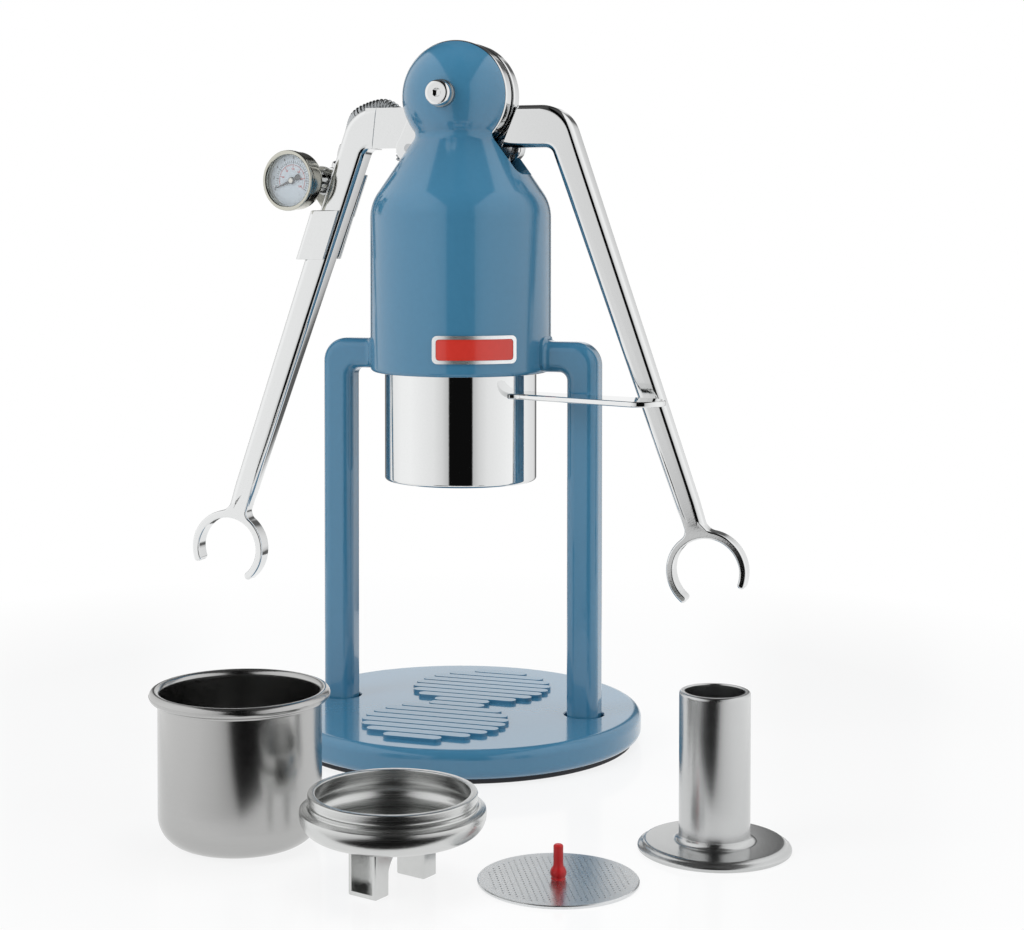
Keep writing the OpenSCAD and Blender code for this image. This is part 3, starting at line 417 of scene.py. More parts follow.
def rgb(code):
    """A colour of a picture, such as #3d6c8e, as scene values."""
    parts = [int(code[i:i + 2], 16) / 255 for i in (1, 3, 5)]
    return [p / 12.92 if p <= 0.04045 else ((p + 0.055) / 1.055) ** 2.4 for p in parts]


def metal(name, code, **look):
    """A finish of bare metal, by the code of its colour."""
    return material(name, rgb(code), metallic=1.0, **look)


def paint():
    colours = bpy.context.scene.espresso_colours
    return material("gloss_blue_paint", list(colours.paint), roughness=0.16, variation=0.03, spread=0.03,
                    bump=0.05, broad=9.0, fine=420.0, coat=0.6)


def polish():
    colours = bpy.context.scene.espresso_colours
    return material("polished_steel", list(colours.polish), metallic=1.0, roughness=0.07, variation=0.02,
                    spread=0.025, bump=0.03, broad=14.0, fine=1400.0)


def chrome():
    colours = bpy.context.scene.espresso_colours
    return material("mirror_chrome", list(colours.polish), metallic=1.0, roughness=0.035, variation=0.015,
                    spread=0.015, bump=0.012, broad=10.0, fine=1200.0)


def plain_steel():
    return metal("machined_steel", "#c4c6c8", roughness=0.28, variation=0.06, spread=0.07, bump=0.10,
                 fine=1600.0)


def rubber():
    return material("black_rubber", rgb("#0c0f12"), roughness=0.62, variation=0.2, spread=0.08, bump=0.3,
                    fine=1500.0)


def brass():
    return metal("turned_brass", "#c8a45a", roughness=0.3, variation=0.07, spread=0.06, bump=0.08,
                 fine=1200.0)


# Sizes and colours that a user would change

def lengths(name, description, default, low, high):
    return FloatProperty(name=name, description=description, default=default, min=low, max=high,
                         unit="LENGTH", subtype="DISTANCE", precision=4)


def tone(name, description, default):
    return FloatVectorProperty(name=name, description=description, default=default, size=3, min=0.0,
                               max=1.0, subtype="COLOR")


def top_of(node):
    return round(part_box(node)[1].z, 5)


class EspressoSizes(bpy.types.PropertyGroup):
    base_radius: lengths("Base radius", "Outer radius of the base plate",
                         round(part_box("base_foot_ring")[1].x, 4) + 0.0035, 0.07, 0.09)
    base_top: lengths("Base height", "Height of the top of the base plate", 0.0143, 0.01, 0.02)
    rib_height: lengths("Rib height", "Height of a rib on the base plate", 0.0015, 0.0005, 0.003)
    leg_width: lengths("Leg width", "Width and depth of a leg", 0.014, 0.01, 0.018)
    bell_radius: lengths("Bell radius", "Outer radius of the bell", 0.040, 0.036, 0.045)
    axle_height: lengths("Axle height", "Height of the arm axle above the ground", 0.284, 0.25, 0.32)
    cup_radius: lengths("Portafilter radius", "Outer radius of the portafilter", 0.0337, 0.03, 0.036)
    gauge_radius: lengths("Gauge radius", "Outer radius of the gauge", 0.0135, 0.01, 0.018)
    basket_height: lengths("Basket height", "Height of the basket", top_of("basket"), 0.04, 0.07)
    tamper_height: lengths("Tamper height", "Height of the tamper", top_of("tamper_stem"), 0.04, 0.08)


class EspressoColours(bpy.types.PropertyGroup):
    paint: tone("Paint", "Colour of the painted castings", rgb("#4482a5"))
    polish: tone("Polish", "Colour of the polished metal", rgb("#e2e3e3"))
    badge: tone("Badge", "Colour of the badge", rgb("#d9372b"))
    knob: tone("Knob", "Colour of the screen's knob", rgb("#c4161c"))
    dial: tone("Dial", "Colour of the gauge's dial", rgb("#cfdbe4"))


def sizes():
    """The sizes of the panel, in mm."""
    given = bpy.context.scene.espresso_sizes
    return {key: getattr(given, key) / MM for key in given.__annotations__}


# Selecting and cutting helpers that several pieces share

def outward(piece):
    """Turns the faces of a mirrored piece outwards."""
    edit(piece)
    bpy.ops.mesh.normals_make_consistent(inside=False)
    bpy.ops.object.mode_set(mode="OBJECT")


def round_edges(piece, test, width, segments):
    """Rounds chosen edges by a width in mm. The test gets an edge's middle and its run."""
    choose(piece, test, "EDGE")
    bpy.ops.mesh.bevel(offset=width * MM, offset_type="OFFSET", segments=segments, affect="EDGES",
                       clamp_overlap=False)
    bpy.ops.object.mode_set(mode="OBJECT")


def slide(piece, test, step):
    """Moves the corners that pass a test by a step in mm."""
    choose(piece, test)
    bpy.ops.transform.translate(value=[s * MM for s in step])
    bpy.ops.object.mode_set(mode="OBJECT")


def repeated(piece, step, count, **values):
    """Repeats a piece by a step in mm."""
    modify(piece, "ARRAY", use_relative_offset=False, use_constant_offset=True,
           constant_offset_displace=[s * MM for s in step], count=count, **values)


def block(name, low, high):
    """A box between two corners in mm, for cutting or joining."""
    outline = [(low[0], low[1]), (high[0], low[1]), (high[0], high[1]), (low[0], high[1])]
    return traced(name, lying(outline, low[2]), (0, 0, (high[2] - low[2]) * MM))


def rod(name, r, low, high, matrix=None, steps=32):
    """A round rod along Z between two heights in mm."""
    made = turned(name, [(r, low), (r, high)], steps)
    return place(made, matrix) if matrix is not None else made


def rounded_frame(w, h, r):
    """The outline in mm of a rectangle with round corners, about its middle."""
    steps = 5
    found = []
    for sx, sy, start in ((1, 1, 0), (-1, 1, 90), (-1, -1, 180), (1, -1, 270)):
        found += arc(sx * (w / 2 - r), sy * (h / 2 - r), r, start, start + 90, steps)
    return found


# Base

class MESH_OT_espresso_base(bpy.types.Operator):
    """Base plate with its ribs and leg recesses, and the rubber ring under it"""
    bl_idname = "mesh.espresso_base"
    bl_label = "Base plate"

    def execute(self, context):
        size = sizes()
        r, top, low, edge = size["base_radius"], size["base_top"], 2.0, 4.0
        groove_out = r - 3.4
        groove_in = groove_out - 9.2
        profile = [(groove_in, low), (groove_in, 4.0), (groove_out, 4.0), (groove_out, low)]
        profile += arc(r - edge, low + edge, edge, -90, 0)
        profile += arc(r - edge, top - edge, edge, 0, 90)
        plate = turned("base_shell", profile, 192)
        for side in (-1, 1):
            recess = [(8.64, top - 5), (8.64, top - 0.4), (9.1, top + 0.06), (9.1, top + 3)]
            recess = turned("recess", recess, 64)
            combine(plate, place(recess, shift(side * (r - LEG_INSET), 0, 0)), "DIFFERENCE")
        finish(plate, "frame", paint(), ("base_plate",), 30)
        self.ribs(top, size["rib_height"])
        ring = [(groove_in + 0.9, 0), (groove_out - 0.9, 0)]
        ring += arc(groove_out - 0.9, 0.8, 0.8, -90, 0, 4)[1:]
        ring += [(groove_out - 0.1, 3.9), (groove_in + 0.1, 3.9)]
        ring += arc(groove_in + 0.9, 0.8, 0.8, 180, 270, 4)
        finish(turned("foot_ring", ring, 160), "frame", rubber(), ("base_foot_ring",))
        return {"FINISHED"}

    def ribs(self, top, height):
        """The ribs on the base plate, in two round lobes."""
        count, pitch, half, field = 18, 7.2, 2.8, 31.5
        first = -(count - 1) * pitch / 2 - 1.8
        fields = (first + 4 * pitch, first + (count - 5) * pitch)
        middle = 10.0
        outline = arc(middle, 0, half, -90, 90, 10) + arc(-middle, 0, half, 90, 270, 10)
        pattern = traced("rib", lying(outline, top - 0.4), (0, 0, (height + 0.4) * MM))
        slope = shift(0, half, top + height) @ turn(1.0, "X")
        combine(pattern, place(block("slope", (-30, -12, 0), (30, 6, 6)), slope), "DIFFERENCE")
        rounded(pattern, 0.8, 4, 50)
        made = []
        for i in range(count):
            y = first + i * pitch
            chords = [math.sqrt(max(0.0, field ** 2 - (y - at) ** 2)) for at in fields]
            grow = max(chords + [11.5]) - middle - half
            rib = copy_of(pattern, "rib_%02d" % i, shift(0, y, 0))
            for side in (-1, 1):
                slide(rib, lambda co: co.x * side > 0, (side * grow, 0, 0))
            made.append(rib)
        bpy.data.objects.remove(pattern)
        finish(joined(made, "base_ribs"), "frame", paint(), ("base_plate",), 50)


# Legs

class MESH_OT_espresso_legs(bpy.types.Operator):
    """The two upright legs, which bend inwards at the top and flow into the bell"""
    bl_idname = "mesh.espresso_legs"
    bl_label = "Legs"

    def execute(self, context):
        size = sizes()
        half = size["leg_width"] / 2
        mid = size["base_radius"] - LEG_INSET
        foot = size["base_top"] - 5
        arm_low, arm_high = size["axle_height"] - 120.5, 13.3
        arm_top = arm_low + arm_high
        end, bend, inside = size["bell_radius"] + 3.4, 10.3, 3.5
        outline = [(mid - half, foot), (mid + half, foot)]
        outline += arc(mid + half - bend, arm_top - bend, bend, 0, 90, 16)
        outline += [(end, arm_top), (end, arm_low)]
        outline += arc(mid - half - inside, arm_low - inside, inside, 90, 0, 10)
        leg = traced("right_leg_shell", standing(outline, half), (0, -2 * half * MM, 0))
        round_edges(leg, lambda at, run: abs(abs(at.y) - half) < 0.01 and at.z > foot + 0.01
                    and not (abs(at.x - end) < 0.01 and abs(run.x) < 0.01), 4.4, 7)
        choose(leg, lambda at, normal: normal.x < -0.9 and abs(at.x - end) < 0.1, "FACE")
        last_x, last = end, 0.0
        for near, grow in ((2.4, 0.12), (1.6, 0.35), (1.0, 0.75), (0.55, 1.3), (0.2, 2.1), (-2.5, 2.7)):
            x = size["bell_radius"] + near
            push(((x - last_x) * MM, 0, 0))
            bpy.ops.transform.resize(
                value=(1, (half + grow) / (half + last), (arm_high + grow) / (arm_high + last)),
                center_override=(x * MM, 0, arm_low * MM))
            last_x, last = x, grow
        seal()
        twin = copy_of(leg, "left_leg_shell", Matrix.Scale(-1, 4, Vector((1, 0, 0))))
        outward(twin)
        finish(leg, "frame", paint(), ("right_leg",), 40)
        finish(twin, "frame", paint(), ("left_leg",), 40)
        return {"FINISHED"}


# Bell and head

class MESH_OT_espresso_bell(bpy.types.Operator):
    """Bell with its cone and its round, slotted head"""
    bl_idname = "mesh.espresso_bell"
    bl_label = "Bell"

    def execute(self, context):
        size = sizes()
        r, axle = size["bell_radius"], size["axle_height"]
        low, shoulder, bend, cone, head = axle - BELL_DROP, axle - 53.3, 20.0, 34.2, 25.8
        cone_run, cone_rise = 17.08, 25.12
        start = arc(r - bend, shoulder, bend, cone, cone, 1)[0]
        neck = (start[0] - cone_run, start[1] + cone_rise)
        fall = (math.sin(math.radians(cone)), -math.cos(math.radians(cone)))
        before = (neck[0] + 3.0 * fall[0], neck[1] + 3.0 * fall[1])
        head_from = -34.5
        after = arc(0, axle, head, head_from, head_from, 1)[0]
        profile = arc(r - 2, low + 2, 2, -90, 0, 6)
        profile += arc(r - bend, shoulder, bend, 0, cone, 14)
        profile += soft_corner(before, neck, after, 8)
        profile += arc(0, axle, head, head_from, 86, 44)[1:]
        bell = turned("bell_shell", profile, 160)
        bore, bore_top, web_top, hollow_top = 36.1, low + 31.2, low + 37.2, 258
        combine(bell, rod("bore", bore, low - 5, bore_top, steps=128), "DIFFERENCE")
        wall = 4.0
        hollow = [(r - wall, web_top)] + arc(r - bend, shoulder, bend - wall, 0, cone, 8)
        hollow += [(hollow[-1][0] - (hollow_top - hollow[-1][1]) * math.tan(math.radians(cone)), hollow_top)]
        combine(bell, turned("hollow", hollow, 96), "DIFFERENCE")
        combine(bell, rod("bush_seat", 8, low + 28, low + 42), "DIFFERENCE")
        floor, half, corner = axle - 34.5, 10.0, 3.5
        outline = [(half, axle + 60), (-half, axle + 60)]
        outline += arc(-half + corner, floor + corner, corner, 180, 270, 8)
        outline += arc(half - corner, floor + corner, corner, 270, 360, 8)
        slot = traced("slot", standing(outline, 60), (0, -120 * MM, 0))
        combine(bell, place(slot, turn(90, "Z")), "DIFFERENCE")
        for side in (-1, 1):
            cut = shift(0, 0, axle) @ turn(90 * side, "X")
            combine(bell, rod("spot", 6.3, head - 0.6, head + 9, cut, 64), "DIFFERENCE")
        combine(bell, rod("axle_hole", 4, -30, 30, shift(0, 0, axle) @ turn(90, "X"), 48), "DIFFERENCE")
        finish(bell, "frame", paint(), ("bell_casting",), 30)
        return {"FINISHED"}


class MESH_OT_espresso_badge(bpy.types.Operator):
    """A plain badge on the bell: a pale border round a red plate that follows the curve"""
    bl_idname = "mesh.espresso_badge"
    bl_label = "Badge"

    def curved(self, name, r, proud, z, w, h, corner, facing):
        inner, outer = r - 0.4, r + proud
        band = [(inner, z - h), (outer, z - h), (outer, z + h), (inner, z + h), (inner, z - h)]
        piece = turned(name, band, 360)
        outline = [(x, y + z) for x, y in rounded_frame(w, h, corner)]
        tool = traced("trim", standing(outline, -r + 15), (0, -30 * MM, 0))
        combine(piece, place(tool, facing), "INTERSECT")
        return piece

    def execute(self, context):
        size = sizes()
        r, z = size["bell_radius"], size["axle_height"] - 109.4
        facing = turn(27.7, "Z")
        colours = context.scene.espresso_colours
        border = self.curved("badge_frame", r, 0.9, z, 36.5, 12.0, 2.2, facing)
        rounded(border, 0.25, 2, 50)
        pale = material("badge_silver", rgb("#eceeef"), metallic=0.85, roughness=0.22, variation=0.02,
                        spread=0.04, bump=0.03)
        field = self.curved("window", r, 2.0, z, 33.5, 9.0, 1.4, facing)
        combine(border, field, "DIFFERENCE")
        finish(border, "frame", pale, ("badge_border",))
        plate = self.curved("badge_field", r, 0.62, z, 33.4, 8.9, 1.4, facing)
        rounded(plate, 0.12, 2, 50)
        red = material("badge_enamel", list(colours.badge), roughness=0.2, variation=0.03, spread=0.03,
                       bump=0.04, fine=600.0, coat=0.4)
        finish(plate, "frame", red, ("badge_plate",))
        return {"FINISHED"}


class MESH_OT_espresso_axle(bpy.types.Operator):
    """Washers and round end caps of the arm axle, with a socket in each cap"""
    bl_idname = "mesh.espresso_axle"
    bl_label = "Axle ends"

    def execute(self, context):
        size = sizes()
        seat = 25.2
        for side, name in ((1, "front"), (-1, "rear")):
            facing = shift(0, 0, size["axle_height"]) @ turn(90 * side, "X")
            ring = [(4.0, seat), (6.0, seat)] + arc(5.5, seat + 2.1, 0.5, 0, 90, 4)
            ring += [(4.4, seat + 2.6), (4.0, seat + 2.2), (4.0, seat)]
            washer = place(turned(name + "_washer", ring, 64), facing)
            dull = metal("dull_zinc", "#a9abaa", roughness=0.34, variation=0.08, spread=0.06, bump=0.08,
                         fine=1500.0)
            finish(washer, "frame", dull, ("axle_washers",))
            top = seat + 2.6
            dome = [(1.5, top + 2.2), (1.5, top + 4.3), (1.9, top + 4.8), (3.9, top + 4.8)]
            dome += arc(4.0, top + 3.2, 1.6, 90, 0, 6) + [(5.6, top)]
            cap = place(turned(name + "_cap", dome, 64), facing)
            socket = place(turned("socket", [(1.95, top + 2.6), (1.95, top + 6)], 6), facing)
            combine(cap, socket, "DIFFERENCE")
            finish(cap, "frame", polish(), ("axle_cap_nuts",))
        return {"FINISHED"}


# Lever arms

class MESH_OT_espresso_arms(bpy.types.Operator):
    """The two lever arms: hub, crank, bent root, tapering forearm and open hand ring"""
    bl_idname = "mesh.espresso_arms"
    bl_label = "Lever arms"

    hand = (110.2, 79.3)
    ring = 17.5
    top_drop, low_drop = 4.3, 22.9

    def on_ring(self, r, angle):
        return arc(*self.hand, r, angle, angle, 1)[0]

    def root_x(self, root, seam, drop):
        """How far out the seam at the arm's root lies, at a drop below the axle."""
        return root - seam * (drop - self.top_drop) / (self.low_drop - self.top_drop)

    def fillet(self, start, meet, leave):
        """The hollow corner where a side of the forearm, which comes from start, meets the hand ring."""
        corner = Vector(self.on_ring(self.ring, meet))
        before = corner + 3.6 * (start - corner).normalized()
        return soft_corner(tuple(before), tuple(corner), self.on_ring(self.ring, leave), 6)

    def ring_end(self, angle, way):
        """A rounded end of the hand ring. way is -1 going inwards and 1 going outwards."""
        found = []
        for i in range(1, 6):
            t = math.radians(90 - 30 * i)
            r = 15.85 - way * 1.65 * math.sin(t)
            found.append(self.on_ring(r, angle + way * (5.0 * math.cos(t) - 2)))
        return found

    def outline(self, axle, root, seam):
        """The arm seen from the front, in mm. The straight seam at its root starts at root and runs back by
        seam."""
        slant = math.radians(SLANT)
        aside = 5.0 * Vector((math.cos(slant), math.sin(slant)))
        wrist = Vector((101.77, 107.3))
        outer, inner = wrist + aside, wrist - aside
        top, low = axle - self.top_drop, axle - self.low_drop
        points = [(root, top)] + arc(37.45, top - 16, 16, 90, SLANT, 14) + [tuple(outer)]
        points += self.fillet(outer, 90.5, 78) + arc(*self.hand, self.ring, 74, -19, 22)
        points += self.ring_end(-21, -1) + arc(*self.hand, 14.2, -19, 231, 56) + self.ring_end(233, 1)
        points += arc(*self.hand, self.ring, 231, 135, 24) + self.fillet(inner, 119.5, 131)[::-1]
        points += [tuple(inner)] + arc(39.51, low - 4, 4, SLANT, 90, 8)
        return points + [(self.root_x(root, seam, self.low_drop), low)]

    def arm(self, name, axle, root, seam):
        """The arm without its hub. Its front face falls back by thin from the bend to the hand ring."""
        front, back, thin = -4.5, 8.5, 5.0
        limb = traced(name, standing(self.outline(axle, root, seam), back), (0, (front - back) * MM, 0))
        bend_z, flat_z = axle - BEND_DROP, 99.0
        for z in (bend_z, flat_z):
            edit(limb)
            bpy.ops.mesh.bisect(plane_co=(0, 0, z * MM), plane_no=(0, 0, 1))
            bpy.ops.object.mode_set(mode="OBJECT")
        heights = sorted({round(v.co.z / MM, 3) for v in limb.data.vertices
                          if v.co.y < (front + 0.01) * MM and flat_z - 0.01 < v.co.z / MM < bend_z - 0.01})
        for z in heights:
            step = thin * (bend_z - z) / (bend_z - flat_z)
            slide(limb, lambda co: co.y < front + 0.01 and abs(co.z - z) < 0.01, (0, step, 0))
        slide(limb, lambda co: co.y < front + 0.01 and co.z < flat_z - 0.01, (0, thin, 0))
        self.soften(limb, axle, root, seam)
        return limb

    def soften(self, limb, axle, root, seam):
        """Rounds the rim of both faces, less round the thin hand ring than on the forearm, and hardly where
        the arm meets its hub."""
        def at_root(co):
            return co.x / MM < self.root_x(root, seam, axle - co.z / MM) + 0.1

        edit(limb, "EDGE")
        bpy.ops.mesh.select_all(action="DESELECT")
        bpy.ops.mesh.edges_select_sharp(sharpness=math.radians(50))
        bpy.ops.object.mode_set(mode="OBJECT")
        mesh = limb.data
        sharp = {edge.index for edge in mesh.edges if edge.select}
        shares = ((-1, 98, 0.3, False), (98, 400, 1.0, False), (-1, 400, 0.08, True))
        for low, high, share, rooted in shares:
            edit(limb, "EDGE")
            bpy.ops.mesh.select_all(action="DESELECT")
            bpy.ops.object.mode_set(mode="OBJECT")
            for edge in mesh.edges:
                a, b = (mesh.vertices[i].co for i in edge.vertices)
                inside = low <= (a.z + b.z) / 2 / MM < high and (at_root(a) and at_root(b)) == rooted
                edge.select = edge.index in sharp and inside
            bpy.ops.object.mode_set(mode="EDIT")
            bpy.ops.transform.edge_bevelweight(value=share)
            bpy.ops.object.mode_set(mode="OBJECT")
        modify(limb, "BEVEL", width=2.9 * MM, segments=5, limit_method="WEIGHT", use_clamp_overlap=False)

    def hub(self, name, axle, reach):
        """The round hub with its crank and the web that carries the arm."""
        front, back, web_back = 2.1, 9.6, 8.2
        stand = shift(0, 0, axle) @ turn(-90, "X")
        rim, bend, eye = 24.3, 1.0, 6.2
        disc = [(6.0, front)] + arc(rim - bend, front + bend, bend, -90, 0, 6)
        disc += arc(rim - bend, back - bend, bend, 0, 90, 6) + [(6.0, back), (6.0, front)]
        disc = place(turned(name, disc, 128), stand)
        px, pz = 21.142, 261.328 - axle
        way = math.atan2(pz, px)
        length = math.hypot(px, pz)
        bar = [(11, -13.2), (length, -eye)] + arc(length, 0, eye, -80, 80, 10) + [(length, eye), (11, 13.2)]
        crank = traced("crank", standing(bar, back - 0.3), (0, (front - back + 0.6) * MM, 0))
        rounded(crank, 0.6, 2, 50)
        place(crank, shift(0, 0, axle) @ Matrix.Rotation(-way, 4, "Y"))
        combine(disc, crank, "UNION")
        low, high = axle - self.low_drop + 0.3, axle - self.top_drop - 0.3
        web = standing([(17, low), (reach, low), (reach, high), (17, high)], web_back)
        combine(disc, traced("web", web, (0, (front + 0.6 - web_back) * MM, 0)), "UNION")
        return disc

    def execute(self, context):
        axle = sizes()["axle_height"]
        arms = (("right", 0, 27.668, 7.7, 34), ("left", 180, 36.749, -2.0, 42))
        for name, facing, root, seam, reach in arms:
            limb = self.arm(name + "_arm_limb", axle, root, seam)
            hub = self.hub(name + "_arm_hub", axle, reach)
            for piece, smooth in ((limb, 40), (hub, 30)):
                place(piece, turn(facing, "Z"))
                finish(piece, name + "_lever", polish(), (name + "_arm",), smooth)
        return {"FINISHED"}


# Portafilter

class MESH_OT_espresso_portafilter(bpy.types.Operator):
    """Chromed portafilter under the bell, its locking ears and its flat handle"""
    bl_idname = "mesh.espresso_portafilter"
    bl_label = "Portafilter"

    def execute(self, context):
        size = sizes()
        r, bell_low = size["cup_radius"], size["axle_height"] - BELL_DROP
        low, top, bore, facing = bell_low - 47.9, bell_low + 15.2, r - 2.7, turn(-18.5, "Z")
        wall = [(r - 5.7, low + 0.4), (r - 5.3, low), (r - 1.5, low)]
        wall += arc(r - 1.5, low + 1.5, 1.5, -90, 0, 6)
        wall += [(r, top - 0.5), (r - 0.5, top), (bore + 0.5, top), (bore, top - 0.5), (bore, low + 2.6)]
        wall += arc(bore - 0.6, low + 2.6, 0.6, 0, -90, 3) + [(r - 5.7, low + 2), (r - 5.7, low + 0.4)]
        cup = turned("cup_wall", wall, 224)
        ears = []
        for side in (-1, 1):
            sector = arc(0, 0, r - 0.6, -13, 13, 8) + arc(0, 0, 35.7, 13, -13, 8)
            ear = traced("ear", lying(sector, bell_low + 4.8), (0, 0, 4 * MM))
            ears.append(place(ear, facing @ turn(90 * side, "Z")))
        finish(joined([cup] + ears, "cup_wall"), "portafilter", chrome(),
               ("portafilter_cup",))
        under, thick, root, wide, tip = bell_low - 10.2, 2.4, 7.0, 10.5, 93.5
        side_line = [(r - 0.9, root + 2.6), (r + 1.2, root + 1.2), (r + 3.4, root + 0.35)]
        outline = [(x, -y) for x, y in side_line] + arc(tip, 0, wide, -83, 83, 20) + side_line[::-1]
        handle = traced("handle_blade", lying(outline, under), (0, 0, thick * MM))
        rounded(handle, 0.75, 4, 40)
        finish(place(handle, facing), "portafilter", chrome(), ("portafilter_handle",), 40)
        return {"FINISHED"}


# Gauge

def gauge_place():
    """Where the gauge faces: its own +Z comes out of the dial."""
    at = shift(*GAUGE_AT, sizes()["axle_height"] - GAUGE_DROP)
    return at @ turn(-GAUGE_YAW, "Z") @ turn(90, "X") @ turn(-5, "Z")


def elbow_place():
    """Where the elbow stands: its own +Z runs along the ferrule."""
    at = shift(*ELBOW_AT, sizes()["axle_height"] - GAUGE_DROP)
    return at @ turn(-GAUGE_YAW, "Z") @ turn(SLANT, "Y")


class MESH_OT_espresso_gauge(bpy.types.Operator):
    """Round pressure gauge: case, bezel, glass and pointer"""
    bl_idname = "mesh.espresso_gauge"
    bl_label = "Gauge"

    def execute(self, context):
        r = sizes()["gauge_radius"]
        at = gauge_place()
        shell = [(1.0, -11), (r - 4, -11)]
        shell += soft_corner((r - 3.6, -11), (r - 0.5, -10.6), (r - 0.5, -7.6), 6)
        shell += [(r - 0.5, -3.1), (r - 0.75, -2.95), (r - 0.75, -2.2), (r - 1.7, -2.2), (r - 1.7, -8.2)]
        shell += [(r - 5, -9.8), (1.0, -9.8)]
        case = place(turned("case_shell", shell, 96), at)
        steel = metal("gauge_nickel", "#c3c2b8", roughness=0.16, variation=0.03, spread=0.04, bump=0.04,
                      fine=1500.0)
        finish(case, "left_lever", steel, ("gauge_case",))
        rim = [(r - 1.8, -1.6), (r - 1.8, -0.5), (r - 1.45, -0.12), (r - 1.1, 0.0), (r - 0.7, -0.02)]
        rim += arc(r - 0.6, -0.6, 0.6, 85, 0, 5) + [(r, -2.1), (r - 0.15, -2.6), (r - 0.45, -2.6)]
        rim += [(r - 0.45, -1.6), (r - 1.8, -1.6)]
        bezel = place(turned("bezel_rim", rim, 128), at)
        finish(bezel, "left_lever", steel, ("gauge_bezel",))
        pane = turned("glass_pane", [(r - 1.6, -2.15), (r - 0.6, -2.15), (r - 0.6, -1.65), (r - 3, -1.62),
                                     (2.0, -1.6)], 64)
        finish(place(pane, at), "left_lever", self.glass(), ("gauge_glass",))
        self.pointer(at, r)
        return {"FINISHED"}

    def glass(self):
        """Thin clear pane: almost all of it lets the dial through, with a faint gloss."""
        made, tree = new_material("clear_pane")
        smear = add(tree, "ShaderNodeTexNoise", {"Vector": own_place(tree), "Scale": 160.0, "Detail": 3.0})
        feed(tree.nodes["Principled BSDF"], {
            "Base Color": (0.96, 0.98, 1.0, 1), "Metallic": 0.0, "Alpha": 0.12, "IOR": 1.45,
            "Roughness": spread_over(tree, smear.outputs["Fac"], 0, 1, 0.02, 0.08)})
        return made

    def pointer(self, at, r):
        tip = r - 5.0
        outline = [(-4.9, -1.25), (-3.2, -1.25), (-1.9, -0.55), (0, -0.62), (tip, -0.12)]
        outline += [(x, -y) for x, y in outline[::-1]]
        hand = traced("pointer", lying(outline, -3.5), (0, 0, 0.4 * MM))
        boss = turned("boss", [(1.6, -3.5), (1.6, -3.1)], 48)
        combine(hand, boss, "UNION")
        rounded(hand, 0.07, 2, 50)
        black = material("pointer_black", rgb("#15171a"), roughness=0.42, variation=0.15, spread=0.08,
                         bump=0.05)
        finish(place(hand, at @ turn(DIAL_ZERO, "Z")), "needle", black, ("gauge_needle",))
        cap = [(0.48, -6.0), (0.48, -3.1), (1.2, -3.08), (1.2, -2.85)] + arc(0.9, -2.9, 0.3, 30, 90, 4)
        pale = material("pointer_cap_nickel", rgb("#dedcd4"), metallic=0.6, roughness=0.3, variation=0.04,
                        spread=0.05, bump=0.03, fine=1500.0)
        finish(place(turned("pointer_cap", cap, 48), at), "needle", pale, ("needle_cap",))


class MESH_OT_espresso_dial(bpy.types.Operator):
    """Dial with strokes and plain numbers on two rings"""
    bl_idname = "mesh.espresso_dial"
    bl_label = "Dial"

    sweep = 233.0

    level, raised = -4.0, 0.05

    def strokes(self, name, count, every, inner, outer, wide, at):
        """Strokes round the dial; each one that is a multiple of every is longer."""
        made = []
        for i in range(count + 1):
            major = i % every == 0
            start = inner - (0.75 if major else 0)
            half = wide * (1.0 if major else 0.6)
            outline = [(start, -half), (outer, -half), (outer, half), (start, half)]
            mark = traced("mark", lying(outline, self.level), (0, 0, self.raised * MM))
            made.append(place(mark, at @ turn(DIAL_ZERO - self.sweep * i / count, "Z")))
        return joined(made, name)

    def line(self, name, r, wide, at):
        """A thin arc that the strokes stand on."""
        last = DIAL_ZERO - self.sweep
        outline = arc(0, 0, r + wide / 2, DIAL_ZERO, last, 48)
        outline += arc(0, 0, r - wide / 2, last, DIAL_ZERO, 48)
        return place(traced(name, lying(outline, self.level), (0, 0, self.raised * MM)), at)

    def numbers(self, name, values, ring, height, at):
        """Plain numbers round the dial, with their middles on a ring."""
        made = []
        for i, value in enumerate(values):
            angle = math.radians(DIAL_ZERO - self.sweep * i / (len(values) - 1))
            clear()
            bpy.ops.object.text_add()
            text = bpy.context.object
            text.data.body = str(value)
            text.data.align_x, text.data.align_y = "CENTER", "CENTER"
            text.data.size = height * MM
            text.data.extrude = 0.025 * MM
            text.data.offset = 0.035 * MM
            text.data.resolution_u = 2
            bpy.ops.object.convert(target="MESH")
            made.append(place(bpy.context.object,
                              at @ shift(ring * math.cos(angle), ring * math.sin(angle), -3.97)))
        return joined(made, name)

    def execute(self, context):
        r = sizes()["gauge_radius"]
        at = gauge_place()
        face = [(0.7, -4.6), (r - 1.75, -4.6), (r - 1.75, -4.05), (r - 1.8, -4.0), (0.7, -4.0), (0.7, -4.6)]
        face = turned("dial_face", face, 96)
        pale = material("dial_enamel", list(context.scene.espresso_colours.dial), roughness=0.45,
                        variation=0.03, spread=0.05, bump=0.02, broad=60.0)
        finish(place(face, at), "left_lever", pale, ("gauge_dial",))
        ink = material("dial_ink", rgb("#20262c"), roughness=0.5, variation=0.12, spread=0.06, bump=0.02)
        red = material("dial_red", rgb("#b93a34"), roughness=0.5, variation=0.1, spread=0.06, bump=0.02)
        outer = [self.strokes("marks", 32, 4, 8.1, 8.9, 0.13, at), self.line("ring", 8.0, 0.1, at),
                 self.numbers("digits", range(0, 17, 2), 10.1, 1.75, at)]
        finish(joined(outer, "dial_strokes"), "left_lever", ink)
        inner = [self.strokes("marks", 24, 4, 6.5, 7.0, 0.1, at), self.line("ring", 7.05, 0.2, at),
                 self.numbers("digits", range(0, 241, 40), 5.1, 1.2, at)]
        finish(joined(inner, "dial_strokes_red"), "left_lever", red)
        return {"FINISHED"}


